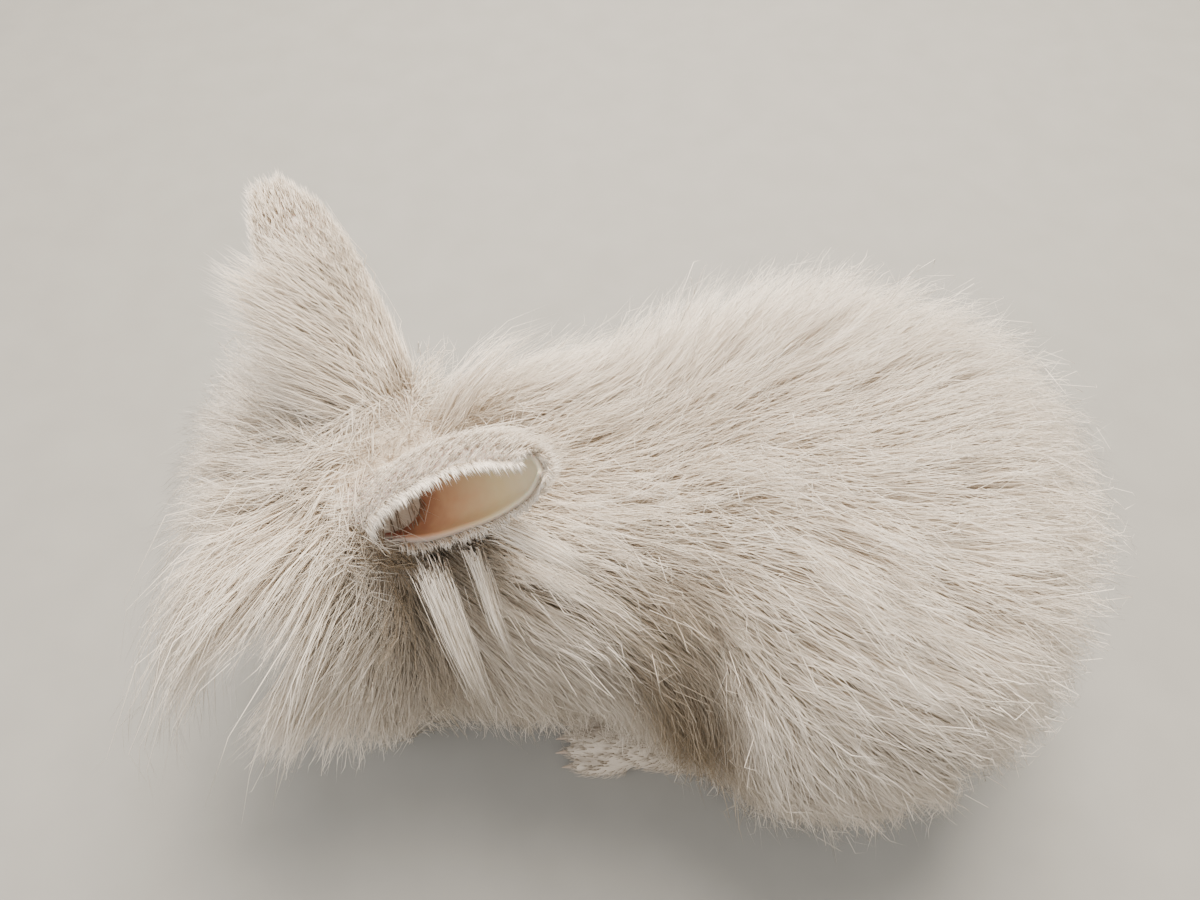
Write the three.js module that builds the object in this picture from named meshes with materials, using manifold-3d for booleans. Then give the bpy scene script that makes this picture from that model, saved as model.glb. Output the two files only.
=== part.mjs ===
// A still, life-size model of an angora rabbit that sits low on the floor, facing -X.
// Millimetres, +Z up. The rabbit's left side is at -Y. Its left ear is laid back and its
// right ear stands up. Lengths were set from the photograph and from a small adult angora.
import * as THREE from 'three';
import { mergeVertices } from 'three/addons/utils/BufferGeometryUtils.js';
import Module from 'manifold-3d';

const wasm = await Module();
wasm.setup();

// Driving dimensions

const GAP = 0.35; // clearance between touching parts
const CORE_SHARE = 0.5; // how much of the coat's depth the solid core takes
const HEAD_SHARE = 0.36; // the same on the cheeks and crown
const LOCK = { length: 66, width: 31, height: 6, sunk: 7, spacing: 25 }; // wool on the body
const MANE_LOCK = { length: 66, width: 25, height: 5, sunk: 6, spacing: 14 };
const TAIL_LOCK = { length: 30, width: 18, height: 4.5, sunk: 5, spacing: 15 };
const LOCK_TAPER = [0.6, 1, 0.8]; // share of the width at each ring, before the tip
const HAIR_CLEAR = 6; // no lock grows where the coat is thinner than this past the core
const CUT_DEPTH = 4; // nor on a face that lies this far inside the core
const FACE_EDGE = 6; // where the long wool starts, ahead of the head's centre
const JAW_WOOL = 12; // how much further forward it starts on the jaw
const EYE_CLEAR = 25; // nor so near the middle of an eye
const EAR_CLEAR = 13; // nor so near the root of an ear
const LOWEST_ROOT = 24; // nor below this height
const LOWEST_TIP = 5; // no lock comes nearer the floor
const LOCK_APART = 5.5; // a lock keeps this far from those of the node above it
const WALL_CLEAR = 9; // a lock rises for this far before it passes over a neighbour
const FACE_FUR = 1.5; // short fur on the muzzle

const HEAD = { centre: vec(-90, 0, 108), pitch: 18, scale: 1.08 };
const CROWN = vec(-70, 0, 154); // whorl between the ears, where the coat parts
const CROWN_SPREAD = vec(1.5, 1, 0.75); // wool runs forward from the whorl more than down
const EYE_RADIUS = 8.6;
const LID_THICKNESS = 1.6;
const EAR_LENGTH = 76;
const EAR_THICKNESS = 2.4;
const TRUNK_CELL = 20; // mesh size of the core on the trunk
const HEAD_DETAIL = 8; // rows of triangles along each edge of the head's icosahedron

// Vectors and plain maths

function vec(x, y, z) {
  return new THREE.Vector3(x, y, z);
}

function smoothstep(low, high, x) {
  const t = Math.min(1, Math.max(0, (x - low) / (high - low)));
  return t * t * (3 - 2 * t);
}

function mix(a, b, t) {
  return a + (b - a) * t;
}

// Value at t, from 0 to 1, of a curve through evenly spaced heights.
function along(heights, t) {
  const x = Math.min(0.9999, Math.max(0, t)) * (heights.length - 1);
  const i = Math.floor(x);
  const s = x - i;
  return mix(heights[i], heights[i + 1], s * s * (3 - 2 * s) * 0.5 + s * 0.5);
}

// The head's own frame: forward to the nose, left side, and up

const pitch = THREE.MathUtils.degToRad(HEAD.pitch);
const FORWARD = vec(-Math.cos(pitch), 0, -Math.sin(pitch));
const SIDE = vec(0, -1, 0);
const UP = vec(-Math.sin(pitch), 0, Math.cos(pitch));

// A point given as forward, left and up of the head's centre, before the head's scale.
function inHead(forward, side, up) {
  return HEAD.centre.clone()
    .addScaledVector(FORWARD, forward * HEAD.scale)
    .addScaledVector(SIDE, side * HEAD.scale)
    .addScaledVector(UP, up * HEAD.scale);
}

function toHead(p) {
  const d = p.clone().sub(HEAD.centre).divideScalar(HEAD.scale);
  return vec(d.dot(FORWARD), d.dot(SIDE), d.dot(UP));
}

// Skin of the body, as ellipsoids: centre and half sizes. Paired forms are given at +Y.

const TRUNK = [
  { at: vec(64, 0, 84), size: vec(78, 56, 60) }, // loin and rump
  { at: vec(-18, 0, 80), size: vec(72, 40, 54) }, // ribs
];
const TRUNK_PAIRS = [
  { at: vec(72, 47, 62), size: vec(54, 28, 50) }, // haunch
  { at: vec(-46, 20, 72), size: vec(32, 21, 40) }, // shoulder
];
const NECK = { from: vec(-40, 0, 96), to: vec(-74, 0, 110), radius: 32 };

// Skin of the head in its own frame
const SKULL = [
  { at: vec(-8, 0, 4), size: vec(34, 25, 26) }, // brain case
  { at: vec(20, 0, 1), size: vec(33, 17, 19) }, // bridge of the nose
  { at: vec(38, 0, -4), size: vec(16, 13, 14) }, // muzzle
  { at: vec(30, 0, -19), size: vec(16, 9, 8) }, // chin
];
const SKULL_PAIRS = [
  { at: vec(41, 7, -8), size: vec(11, 8, 9) }, // whisker pad
  { at: vec(4, 14, -14), size: vec(26, 13, 17) }, // cheek and jaw
  { at: vec(13, 16, 13), size: vec(12, 7, 6) }, // brow
];
const EYE = vec(13, 18.5, 5); // eye centre in the head's frame
const EYE_HOLLOW = { at: vec(15, 25, 4), size: vec(12, 7, 10) };

// Outline of the coat at the tips of the hair. The power makes a form squarer than 2 does.
const COAT = [
  { at: vec(66, 0, 94), size: vec(96, 90, 90), power: 2.2 }, // loin and rump
  { at: vec(-22, 0, 84), size: vec(84, 67, 80), power: 2.4 }, // ribs and shoulders
  { at: vec(-115, 0, 92), size: vec(45, 80, 64), power: 2.8 }, // mane round the face
  { at: vec(-80, 0, 112), size: vec(40, 48, 43), power: 2 }, // crown
];
const COAT_PAIRS = [
  { at: vec(76, 48, 64), size: vec(60, 50, 61), power: 2.2 }, // haunch
  { at: vec(-106, 50, 60), size: vec(30, 28, 38), power: 2 }, // cheek
];
const COAT_FILLET = 10;
const CREASE = { from: vec(10, 64, 140), to: vec(22, 84, 40), radius: 9 }; // ahead of a haunch
const FACE_OPENING = { at: vec(-144, 0, 94), size: vec(54, 42, 28) }; // clear of long hair

function ellipsoid(p, { at, size, power = 2 }) {
  const q = p.clone().sub(at).divide(size);
  const [x, y, z] = [Math.abs(q.x), Math.abs(q.y), Math.abs(q.z)];
  const reach = (x ** power + y ** power + z ** power) ** (1 / power);
  if (reach < 1e-9) return -Math.min(size.x, size.y, size.z);
  const slope = Math.hypot(
    (x / reach) ** (power - 1) / size.x,
    (y / reach) ** (power - 1) / size.y,
    (z / reach) ** (power - 1) / size.z,
  );
  return (reach - 1) / slope;
}

function capsule(p, { from, to, radius }) {
  const axis = to.clone().sub(from);
  const t = Math.min(1, Math.max(0, p.clone().sub(from).dot(axis) / axis.lengthSq()));
  return p.distanceTo(from.clone().addScaledVector(axis, t)) - radius;
}

// Union of two distances with a fillet of about the given width.
function blend(a, b, width) {
  const h = Math.max(width - Math.abs(a - b), 0) / width;
  return Math.min(a, b) - h * h * width * 0.25;
}

function mirrored(p) {
  return vec(p.x, Math.abs(p.y), p.z);
}

function trunkSkin(p) {
  const q = mirrored(p);
  let d = capsule(p, NECK);
  for (const form of TRUNK) d = blend(d, ellipsoid(p, form), 26);
  for (const form of TRUNK_PAIRS) d = blend(d, ellipsoid(q, form), 12);
  return d;
}

function headSkin(p) {
  const q = mirrored(toHead(p));
  let d = 1e3;
  for (const form of SKULL) d = blend(d, ellipsoid(q, form), 8);
  for (const form of SKULL_PAIRS) d = blend(d, ellipsoid(q, form), 5);
  return -blend(-d, ellipsoid(q, EYE_HOLLOW), 5) * HEAD.scale;
}

function skin(p) {
  return blend(trunkSkin(p), headSkin(p), 14);
}

function tips(p) {
  const q = mirrored(p);
  let d = 1e3;
  for (const form of COAT) d = blend(d, ellipsoid(p, form), COAT_FILLET);
  for (const form of COAT_PAIRS) d = blend(d, ellipsoid(q, form), COAT_FILLET);
  d = -blend(-d, capsule(q, CREASE), 14);
  return -blend(-d, ellipsoid(p, FACE_OPENING), 6);
}

// Surface of the solid core under the long coat, part of the way from the skin to the tips.
function core(p) {
  const { x: forward, z: up } = toHead(p);
  const share = mix(CORE_SHARE, HEAD_SHARE, smoothstep(-45, -20, forward));
  const edge = FACE_EDGE + JAW_WOOL * smoothstep(0, -20, up);
  return mix(skin(p) - FACE_FUR, tips(p), share * smoothstep(edge, edge - 20, forward));
}

function gradient(field, p) {
  const h = 0.5;
  return vec(
    field(vec(p.x + h, p.y, p.z)) - field(vec(p.x - h, p.y, p.z)),
    field(vec(p.x, p.y + h, p.z)) - field(vec(p.x, p.y - h, p.z)),
    field(vec(p.x, p.y, p.z + h)) - field(vec(p.x, p.y, p.z - h)),
  ).divideScalar(2 * h);
}

// Moves a point to where the field is zero.
function settle(field, p, steps = 4) {
  const q = p.clone();
  for (let i = 0; i < steps; i++) {
    const g = gradient(field, q);
    q.addScaledVector(g, -field(q) / Math.max(0.05, g.lengthSq()));
  }
  return q;
}

// Seeded random numbers from 0 to 1.
function randomFrom(seed) {
  let state = seed;
  return () => {
    state = (state + 0x6d2b79f5) | 0;
    let t = Math.imul(state ^ (state >>> 15), 1 | state);
    t = (t + Math.imul(t ^ (t >>> 7), 61 | t)) ^ t;
    return ((t ^ (t >>> 14)) >>> 0) / 4294967296;
  };
}

// Solids from triangles

function solid(points, triangles) {
  const vertProperties = new Float32Array(points.flatMap((p) => [p.x, p.y, p.z]));
  const triVerts = new Uint32Array(triangles.flat());
  return new wasm.Manifold(new wasm.Mesh({ numProp: 3, vertProperties, triVerts }));
}

function solidOf(geometry) {
  geometry.deleteAttribute('normal').deleteAttribute('uv');
  const merged = mergeVertices(geometry, 1e-3);
  return new wasm.Manifold(new wasm.Mesh({
    numProp: 3,
    vertProperties: merged.attributes.position.array,
    triVerts: new Uint32Array(merged.index.array),
  }));
}

// A surface net over the field, relaxed so that its faces are even.
function net(field, low, high, cell) {
  const count = high.clone().sub(low).divideScalar(cell).ceil().addScalar(1);
  const [nx, ny, nz] = [count.x, count.y, count.z];
  const index = (i, j, k) => i + nx * (j + ny * k);
  const corner = (i, j, k) => vec(low.x + i * cell, low.y + j * cell, low.z + k * cell);
  const value = new Float64Array(nx * ny * nz);
  for (let k = 0; k < nz; k++)
    for (let j = 0; j < ny; j++)
      for (let i = 0; i < nx; i++) value[index(i, j, k)] = field(corner(i, j, k));

  const points = [];
  const pointOf = new Map();
  const steps = [[1, 0, 0], [0, 1, 0], [0, 0, 1]];
  for (let k = 0; k < nz - 1; k++)
    for (let j = 0; j < ny - 1; j++)
      for (let i = 0; i < nx - 1; i++) {
        const sum = vec(0, 0, 0);
        let crossings = 0;
        for (let a = 0; a < 3; a++)
          for (let m = 0; m < 4; m++) {
            const start = [i, j, k];
            start[(a + 1) % 3] += m & 1;
            start[(a + 2) % 3] += m >> 1;
            const end = start.map((v, n) => v + steps[a][n]);
            const [va, vb] = [value[index(...start)], value[index(...end)]];
            if (va < 0 === vb < 0) continue;
            sum.add(corner(...start).lerp(corner(...end), va / (va - vb)));
            crossings++;
          }
        if (!crossings) continue;
        pointOf.set(index(i, j, k), points.length);
        points.push(sum.divideScalar(crossings));
      }

  const quads = [];
  for (let k = 1; k < nz - 1; k++)
    for (let j = 1; j < ny - 1; j++)
      for (let i = 1; i < nx - 1; i++)
        for (let a = 0; a < 3; a++) {
          const inside = value[index(i, j, k)] < 0;
          const next = [i, j, k].map((v, n) => v + steps[a][n]);
          if (inside === value[index(...next)] < 0) continue;
          const around = [[0, 0], [-1, 0], [-1, -1], [0, -1]].map(([b, c]) => {
            const at = [i, j, k];
            at[(a + 1) % 3] += b;
            at[(a + 2) % 3] += c;
            return pointOf.get(index(...at));
          });
          quads.push(inside ? around : around.reverse());
        }

  let placed = points;
  for (let round = 0; round < 4; round++) {
    const sums = placed.map(() => ({ sum: vec(0, 0, 0), n: 0 }));
    for (const quad of quads)
      quad.forEach((v, n) => {
        sums[v].sum.add(placed[quad[(n + 1) % 4]]);
        sums[v].n++;
      });
    placed = placed.map((p, v) => {
      const middle = sums[v].sum.divideScalar(sums[v].n);
      return settle(field, p.clone().lerp(middle, 0.6), 2);
    });
  }
  const triangles = quads.flatMap(([a, b, c, d]) =>
    placed[a].distanceTo(placed[c]) < placed[b].distanceTo(placed[d])
      ? [[a, b, c], [a, c, d]]
      : [[a, b, d], [b, c, d]]);
  return solid(placed, triangles);
}

// An icosahedron's vertices pushed out from a centre to the field's surface, closer together
// in the direction of focus.
function wrap(field, centre, detail, focus, pull) {
  const ball = mergeVertices(
    new THREE.IcosahedronGeometry(1, detail).deleteAttribute('normal').deleteAttribute('uv'),
  );
  const at = ball.attributes.position;
  const points = [];
  for (let v = 0; v < at.count; v++) {
    const ray = new THREE.Vector3().fromBufferAttribute(at, v).normalize();
    ray.addScaledVector(focus, pull).normalize();
    let far = 4;
    while (far < 160 && field(centre.clone().addScaledVector(ray, far)) < 0) far += 2;
    let near = far - 2;
    for (let i = 0; i < 14; i++) {
      const half = (near + far) / 2;
      if (field(centre.clone().addScaledVector(ray, half)) < 0) near = half;
      else far = half;
    }
    points.push(centre.clone().addScaledVector(ray, near));
  }
  const ids = ball.index.array;
  const triangles = [];
  for (let t = 0; t < ids.length; t += 3) triangles.push([ids[t], ids[t + 1], ids[t + 2]]);
  return solid(points, triangles);
}

// A closed solid from points and triangles that are all wound the same way.
function closed(points, triangles) {
  const made = solid(points, triangles);
  return made.volume() > 0 ? made : solid(points, triangles.map(([a, b, c]) => [a, c, b]));
}

// A closed tube through rings of points that all have the same count.
function skinned(rings, start, end) {
  const points = [...rings.flat(), start, end];
  const n = rings[0].length;
  const last = rings.length - 1;
  const triangles = [];
  for (let r = 0; r < last; r++)
    for (let i = 0; i < n; i++) {
      const [a, b] = [r * n + i, r * n + ((i + 1) % n)];
      triangles.push([a, b, b + n], [a, b + n, a + n]);
    }
  for (let i = 0; i < n; i++) {
    const j = (i + 1) % n;
    triangles.push([rings.length * n, j, i], [rings.length * n + 1, last * n + i, last * n + j]);
  }
  return closed(points, triangles);
}

function largest(made) {
  return made.decompose().sort((a, b) => b.volume() - a.volume())[0];
}

function geometryOf(made) {
  const mesh = made.getMesh();
  const shape = new THREE.BufferGeometry();
  shape.setAttribute('position', new THREE.BufferAttribute(new Float32Array(mesh.vertProperties), 3));
  shape.setIndex(new THREE.BufferAttribute(new Uint32Array(mesh.triVerts), 1));
  return shape;
}

// The largest closed surface once points that coincide are one, which parts hollows that
// touch it at a point only.
function outermost(made) {
  let kept = largest(made);
  for (let round = 0; round < 3; round++) kept = largest(solidOf(geometryOf(kept)));
  return kept;
}

function joined(list) {
  return wasm.Manifold.union(list);
}

// An ellipsoid of few faces, for toes and paws.
function lump(at, size, grow = 0, across = 12, down = 8) {
  const shape = new THREE.SphereGeometry(1, across, down);
  shape.rotateX(Math.PI / 2);
  shape.scale(size.x + grow, size.y + grow, size.z + grow);
  shape.translate(at.x, at.y, at.z);
  return solidOf(shape);
}

// Locks of wool

// The way the wool lies: back and down on the body, away from the crown on the head.
function lie(p) {
  const back = vec(mix(0.4, 0.85, smoothstep(-60, 60, p.x)), 0, -0.9).normalize();
  const fromCrown = p.clone().sub(CROWN).multiply(CROWN_SPREAD).normalize();
  return back.lerp(fromCrown, smoothstep(-30, -80, p.x)).normalize();
}

// Points from a root on the core out to the outline of the coat, bent along the lie.
function lockPath(root, { outline, flow, length, yaw }) {
  const steps = LOCK_TAPER.length;
  const points = [root.clone()];
  const p = root.clone();
  for (let i = 0; i < steps; i++) {
    const left = length * (1 - i / steps);
    const out = gradient(outline, p).normalize();
    const rise = Math.min(0.85, Math.max(0.04, (-outline(p) / left) * mix(1.25, 1, i / steps)));
    const along = flow(p).applyAxisAngle(out, yaw);
    along.addScaledVector(out, -along.dot(out)).normalize();
    p.addScaledVector(along, (length / steps) * Math.sqrt(1 - rise * rise));
    p.addScaledVector(out, (length / steps) * rise);
    p.z = Math.max(p.z, LOWEST_TIP);
    points.push(p.clone());
  }
  return points;
}

// One flat lock, three-sided, widest in its first half and running out to a point.
function lockSolid({ path, outline, width, height, sunk }, grow) {
  const rings = [];
  let lastInner = 1;
  for (let i = 0; i < path.length - 1; i++) {
    const ahead = path[i + 1].clone().sub(path[Math.max(0, i - 1)]).normalize();
    const side = ahead.clone().cross(gradient(outline, path[i])).normalize();
    const up = side.clone().cross(ahead).normalize();
    const [w, h] = [(width * LOCK_TAPER[i]) / 2, height * LOCK_TAPER[i]];
    const centre = path[i].clone();
    if (i === 0) centre.addScaledVector(up, -sunk).addScaledVector(ahead, -sunk * 0.4);
    const slant = Math.hypot(w, h);
    const inner = (w * h) / (w + slant);
    const wide = (inner + grow) / inner;
    lastInner = inner;
    const low = -h * 0.4 + inner * (1 - wide);
    const high = -h * 0.4 + inner + (h - inner) * wide;
    rings.push([
      centre.clone().addScaledVector(side, -w * wide).addScaledVector(up, low),
      centre.clone().addScaledVector(side, w * wide).addScaledVector(up, low),
      centre.clone().addScaledVector(up, high),
    ]);
  }
  const end = path.at(-1).clone();
  const reach = end.clone().sub(path.at(-2));
  end.addScaledVector(reach, grow / lastInner);
  const triangles = [[0, 1, 2]];
  for (let r = 0; r < rings.length - 1; r++)
    for (let i = 0; i < 3; i++) {
      const [a, b] = [r * 3 + i, r * 3 + ((i + 1) % 3)];
      triangles.push([a, b + 3, b], [a, a + 3, b + 3]);
    }
  const last = (rings.length - 1) * 3;
  for (let i = 0; i < 3; i++) triangles.push([last + i, rings.length * 3, last + ((i + 1) % 3)]);
  return closed([...rings.flat(), end], triangles);
}

// Evenly spread roots on a core, each at least the spacing from the rest.
function lockRoots(made, spacing, allowed, random) {
  const mesh = made.getMesh();
  const at = mesh.vertProperties;
  const corner = (v) => vec(at[v * 3], at[v * 3 + 1], at[v * 3 + 2]);
  const faces = [];
  let total = 0;
  for (let t = 0; t < mesh.triVerts.length; t += 3) {
    const [a, b, c] = [0, 1, 2].map((n) => corner(mesh.triVerts[t + n]));
    total += b.clone().sub(a).cross(c.clone().sub(a)).length() / 2;
    faces.push({ a, b, c, total });
  }
  const roots = [];
  const tries = Math.ceil((total / spacing ** 2) * 40);
  for (let i = 0; i < tries; i++) {
    const pick = random() * total;
    const face = faces.find((f) => f.total >= pick);
    const u = Math.sqrt(random());
    const v = random();
    const p = face.a.clone().multiplyScalar(1 - u)
      .addScaledVector(face.b, u * (1 - v))
      .addScaledVector(face.c, u * v);
    if (!allowed(p) || roots.some((r) => r.distanceTo(p) < spacing)) continue;
    roots.push(p);
  }
  return roots;
}

// The locks of one node, as the values from which each is made.
function locksOn(made, kind, { outline = tips, flow = lie, allowed, seed }) {
  const random = randomFrom(seed);
  return lockRoots(made, kind.spacing, allowed, random).map((root) => {
    const vary = (share) => 1 + (random() * 2 - 1) * share;
    const length = kind.length * vary(0.12);
    const yaw = (random() * 2 - 1) * 0.2;
    return {
      path: lockPath(root, { outline, flow, length, yaw }),
      outline,
      width: kind.width * vary(0.15),
      height: kind.height * vary(0.1),
      sunk: kind.sunk,
    };
  });
}

// Regions that part the coat: each wall leans back along the lie of the hair

const FAR = 420; // further than any part of the rabbit
const THROAT_BACK = -60; // where the throat and chest end, along X

// Everything ahead of a cone about a level axis that opens towards the nose.
function aheadOf({ at, slope }, shift = 0) {
  const profile = [
    new THREE.Vector2(0, -shift),
    new THREE.Vector2(FAR, FAR * slope - shift),
    new THREE.Vector2(FAR, FAR * 2),
    new THREE.Vector2(0, FAR * 2),
  ];
  const shape = new THREE.LatheGeometry(profile, 28);
  shape.rotateZ(Math.PI / 2);
  shape.translate(at.x, at.y, at.z);
  return solidOf(shape);
}

const HEAD_WALL = { at: vec(-30, 0, 118), slope: 0.85 };
const NECK_WALL = { at: vec(8, 0, 100), slope: 0.7 };
const HAUNCH_WALL = { at: vec(76, 34, 58), size: vec(66, 0, 58), sweep: vec(0.42, 1, -0.12) };

// Which part of the body a point of the core belongs to.
function regionAt(p) {
  const ahead = ({ at, slope }) => p.x < at.x - slope * Math.hypot(p.y - at.y, p.z - at.z);
  if (ahead(HEAD_WALL)) return 'head';
  if (ahead(NECK_WALL)) return 'neck';
  const reach = Math.abs(p.y) - HAUNCH_WALL.at.y;
  const across = (p.x - HAUNCH_WALL.at.x - HAUNCH_WALL.sweep.x * reach) / HAUNCH_WALL.size.x;
  const up = (p.z - HAUNCH_WALL.at.z - HAUNCH_WALL.sweep.z * reach) / HAUNCH_WALL.size.z;
  if (reach > 0 && Math.hypot(across, up) < 1) return p.y < 0 ? 'haunch_left' : 'haunch_right';
  return 'torso';
}

// The oblique elliptical plug that takes in one haunch, side 1 at +Y or -1 at -Y.
function haunchPlug(side, grow) {
  const rings = [0, FAR / 3].map((reach) => {
    const ring = [];
    for (let i = 0; i < 28; i++) {
      const angle = (i / 28) * Math.PI * 2;
      ring.push(vec(
        HAUNCH_WALL.at.x + HAUNCH_WALL.sweep.x * reach + (HAUNCH_WALL.size.x + grow) * Math.cos(angle),
        side * (HAUNCH_WALL.at.y - grow + HAUNCH_WALL.sweep.y * reach),
        HAUNCH_WALL.at.z + HAUNCH_WALL.sweep.z * reach + (HAUNCH_WALL.size.z + grow) * Math.sin(angle),
      ));
    }
    return ring;
  });
  const middle = (ring) => ring.reduce((sum, p) => sum.add(p), vec(0, 0, 0)).divideScalar(ring.length);
  return skinned(rings, middle(rings[0]), middle(rings[1]));
}

// Ears

const LEFT_EAR = { base: inHead(-19, 17, 20), tip: vec(-28, -36, 184), opening: vec(-0.35, -0.9, -0.35) };
const RIGHT_EAR = { base: inHead(-19, -17, 20), tip: vec(-105, 54, 184), opening: vec(-0.75, 0.5, 0) };
const EAR_RADIUS = [10, 10.5, 12.5, 14.5, 14.8, 13, 9.5, 4];
const EAR_HALF_ANGLE = [158, 150, 126, 108, 98, 90, 84, 76];

function earFrame(ear) {
  const axis = ear.tip.clone().sub(ear.base).normalize();
  const open = ear.opening.clone().addScaledVector(axis, -ear.opening.dot(axis)).normalize();
  return { axis, open, side: axis.clone().cross(open) };
}

// Rings of one face of the ear, from sunk in the head to the tip.
function earRings(ear, inset, halfAngle, columns, rows = 9) {
  const { axis, open, side } = earFrame(ear);
  const rings = [];
  for (let r = 0; r <= rows; r++) {
    const t = mix(-0.14, 1, r / rows);
    const centre = ear.base.clone().addScaledVector(axis, t * EAR_LENGTH)
      .addScaledVector(open, 3.5 * Math.sin(Math.PI * Math.max(0, t)) - 3);
    const radius = along(EAR_RADIUS, t) - inset;
    const ring = [];
    for (let c = 0; c < columns; c++) {
      const reach = halfAngle(t);
      const turn = mix(-reach, reach, c / (columns - 1));
      ring.push(centre.clone()
        .addScaledVector(open, -Math.cos(turn) * radius)
        .addScaledVector(side, Math.sin(turn) * radius));
    }
    rings.push(ring);
  }
  return rings;
}

function earShell(ear) {
  const columns = 9;
  const spread = (t) => THREE.MathUtils.degToRad(along(EAR_HALF_ANGLE, t));
  const outer = earRings(ear, 0, spread, columns);
  const inner = earRings(ear, EAR_THICKNESS, spread, columns);
  const rings = outer.map((ring, r) => [...ring, ...inner[r].slice().reverse()]);
  const points = rings.flat();
  const n = columns * 2;
  const last = rings.length - 1;
  const triangles = [];
  for (let r = 0; r < last; r++)
    for (let i = 0; i < n; i++) {
      const [a, b] = [r * n + i, r * n + ((i + 1) % n)];
      triangles.push([a, b, b + n], [a, b + n, a + n]);
    }
  for (let i = 0; i < columns - 1; i++) {
    const [a, b, c, d] = [i, i + 1, n - 2 - i, n - 1 - i];
    triangles.push([a, c, b], [a, d, c]);
    const [e, f, g, h] = [a, b, c, d].map((v) => v + last * n);
    triangles.push([e, f, g], [e, g, h]);
  }
  return closed(points, triangles);
}

// The ear with its cup filled, a little larger, which keeps the coat clear of it.
function earHull(ear) {
  const columns = 9;
  const full = () => Math.PI * (1 - 1 / columns);
  const rings = earRings(ear, -GAP * 3, full, columns, 5);
  const middle = (ring) => ring.reduce((sum, p) => sum.add(p), vec(0, 0, 0)).divideScalar(ring.length);
  const { axis } = earFrame(ear);
  return skinned(rings, middle(rings[0]), middle(rings.at(-1)).addScaledVector(axis, 1));
}

// Eyes, lids, nostrils and mouth

function eyeCentre(side) {
  return inHead(EYE.x, side * EYE.y, EYE.z);
}

function ball(at, radius, detail = 2) {
  const shape = new THREE.IcosahedronGeometry(radius, detail);
  shape.translate(at.x, at.y, at.z);
  return solidOf(shape);
}

// Where the eyeball shows: an almond along the eye's outward axis.
function eyeOpening(side) {
  const shape = new THREE.CylinderGeometry(1, 1, 24, 16);
  shape.scale(7.8, 1, 6.2);
  shape.rotateY(-side * THREE.MathUtils.degToRad(12));
  shape.translate(0, 12, 0);
  const outward = SIDE.clone().multiplyScalar(side).addScaledVector(FORWARD, 0.22).addScaledVector(UP, 0.12);
  shape.applyQuaternion(new THREE.Quaternion().setFromUnitVectors(vec(0, 1, 0), outward.normalize()));
  const at = eyeCentre(side);
  shape.translate(at.x, at.y, at.z);
  return solidOf(shape);
}

function lids(side) {
  const at = eyeCentre(side);
  return ball(at, EYE_RADIUS + LID_THICKNESS);
}

// A round groove cutter along points, each moved onto the skin of the face.
function groove(points, radius) {
  const onFace = points.map((p) => settle(core, p, 6));
  const curve = new THREE.CatmullRomCurve3(onFace);
  const circle = new THREE.Shape().absarc(0, 0, radius, 0, Math.PI * 2);
  const shape = new THREE.ExtrudeGeometry(circle, {
    extrudePath: curve,
    steps: 5,
    curveSegments: 2,
    bevelEnabled: false,
  });
  return solidOf(shape);
}

function nostril(side) {
  const shape = new THREE.SphereGeometry(1, 7, 4);
  shape.scale(3.6, 1.4, 3);
  shape.rotateX(side * THREE.MathUtils.degToRad(42));
  shape.applyMatrix4(new THREE.Matrix4().makeBasis(FORWARD, SIDE, UP));
  const at = settle(core, inHead(56, side * 3.4, -1), 6);
  shape.translate(at.x, at.y, at.z);
  return solidOf(shape);
}

function faceCuts() {
  const cuts = [
    groove([inHead(56, 0, -3.5), inHead(55, 0, -8), inHead(52, 0, -13)], 0.8),
    nostril(1),
    nostril(-1),
  ];
  for (const side of [1, -1]) {
    cuts.push(groove([
      inHead(52, side * -0.6, -13),
      inHead(49, side * 4, -16),
      inHead(43, side * 9, -17),
      inHead(36, side * 12, -17.5),
    ], 0.9));
  }
  return cuts;
}

// Legs, feet and tail

const FLOOR = (() => {
  const slab = new THREE.BoxGeometry(FAR * 2, FAR * 2, 100);
  slab.translate(0, 0, -50);
  return solidOf(slab);
})();

function claw(root, length, drop) {
  const shape = new THREE.ConeGeometry(1.3, length, 3);
  const point = vec(-length, 0, -drop).normalize();
  shape.applyQuaternion(new THREE.Quaternion().setFromUnitVectors(vec(0, 1, 0), point));
  shape.translate(root.x + point.x * length * 0.3, root.y, root.z + point.z * length * 0.3);
  return solidOf(shape);
}

// A paw on the floor: a pad, four toes side by side and their claws.
function paw({ at, size, toe, spread }, side, grow = 0) {
  const centre = vec(at.x, side * at.y, at.z);
  const pieces = [lump(centre, size, grow, 8, 6)];
  for (let t = 0; t < 4; t++) {
    const across = (t - 1.5) / 1.5;
    const front = vec(
      centre.x - size.x + toe.x * (0.55 + 0.25 * across * across),
      centre.y + across * spread,
      toe.z + 0.3,
    );
    pieces.push(lump(front, toe, grow, 5, 4));
    if (!grow) pieces.push(claw(front.clone().add(vec(-toe.x * 0.9, 0, 0.5)), 6, 1.6));
  }
  return joined(pieces).subtract(FLOOR);
}

const FOREPAW = { at: vec(-98, 21, 8), size: vec(19, 9.5, 9), toe: vec(8, 3.2, 4.4), spread: 7 };
const HINDPAW = { at: vec(34, 55, 9), size: vec(50, 11.5, 10), toe: vec(12, 3.8, 5.2), spread: 8.4 };
const FORELEG = { from: vec(-64, 25, 66), to: vec(-90, 21.5, 14), thick: 14, thin: 8.5 };

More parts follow.
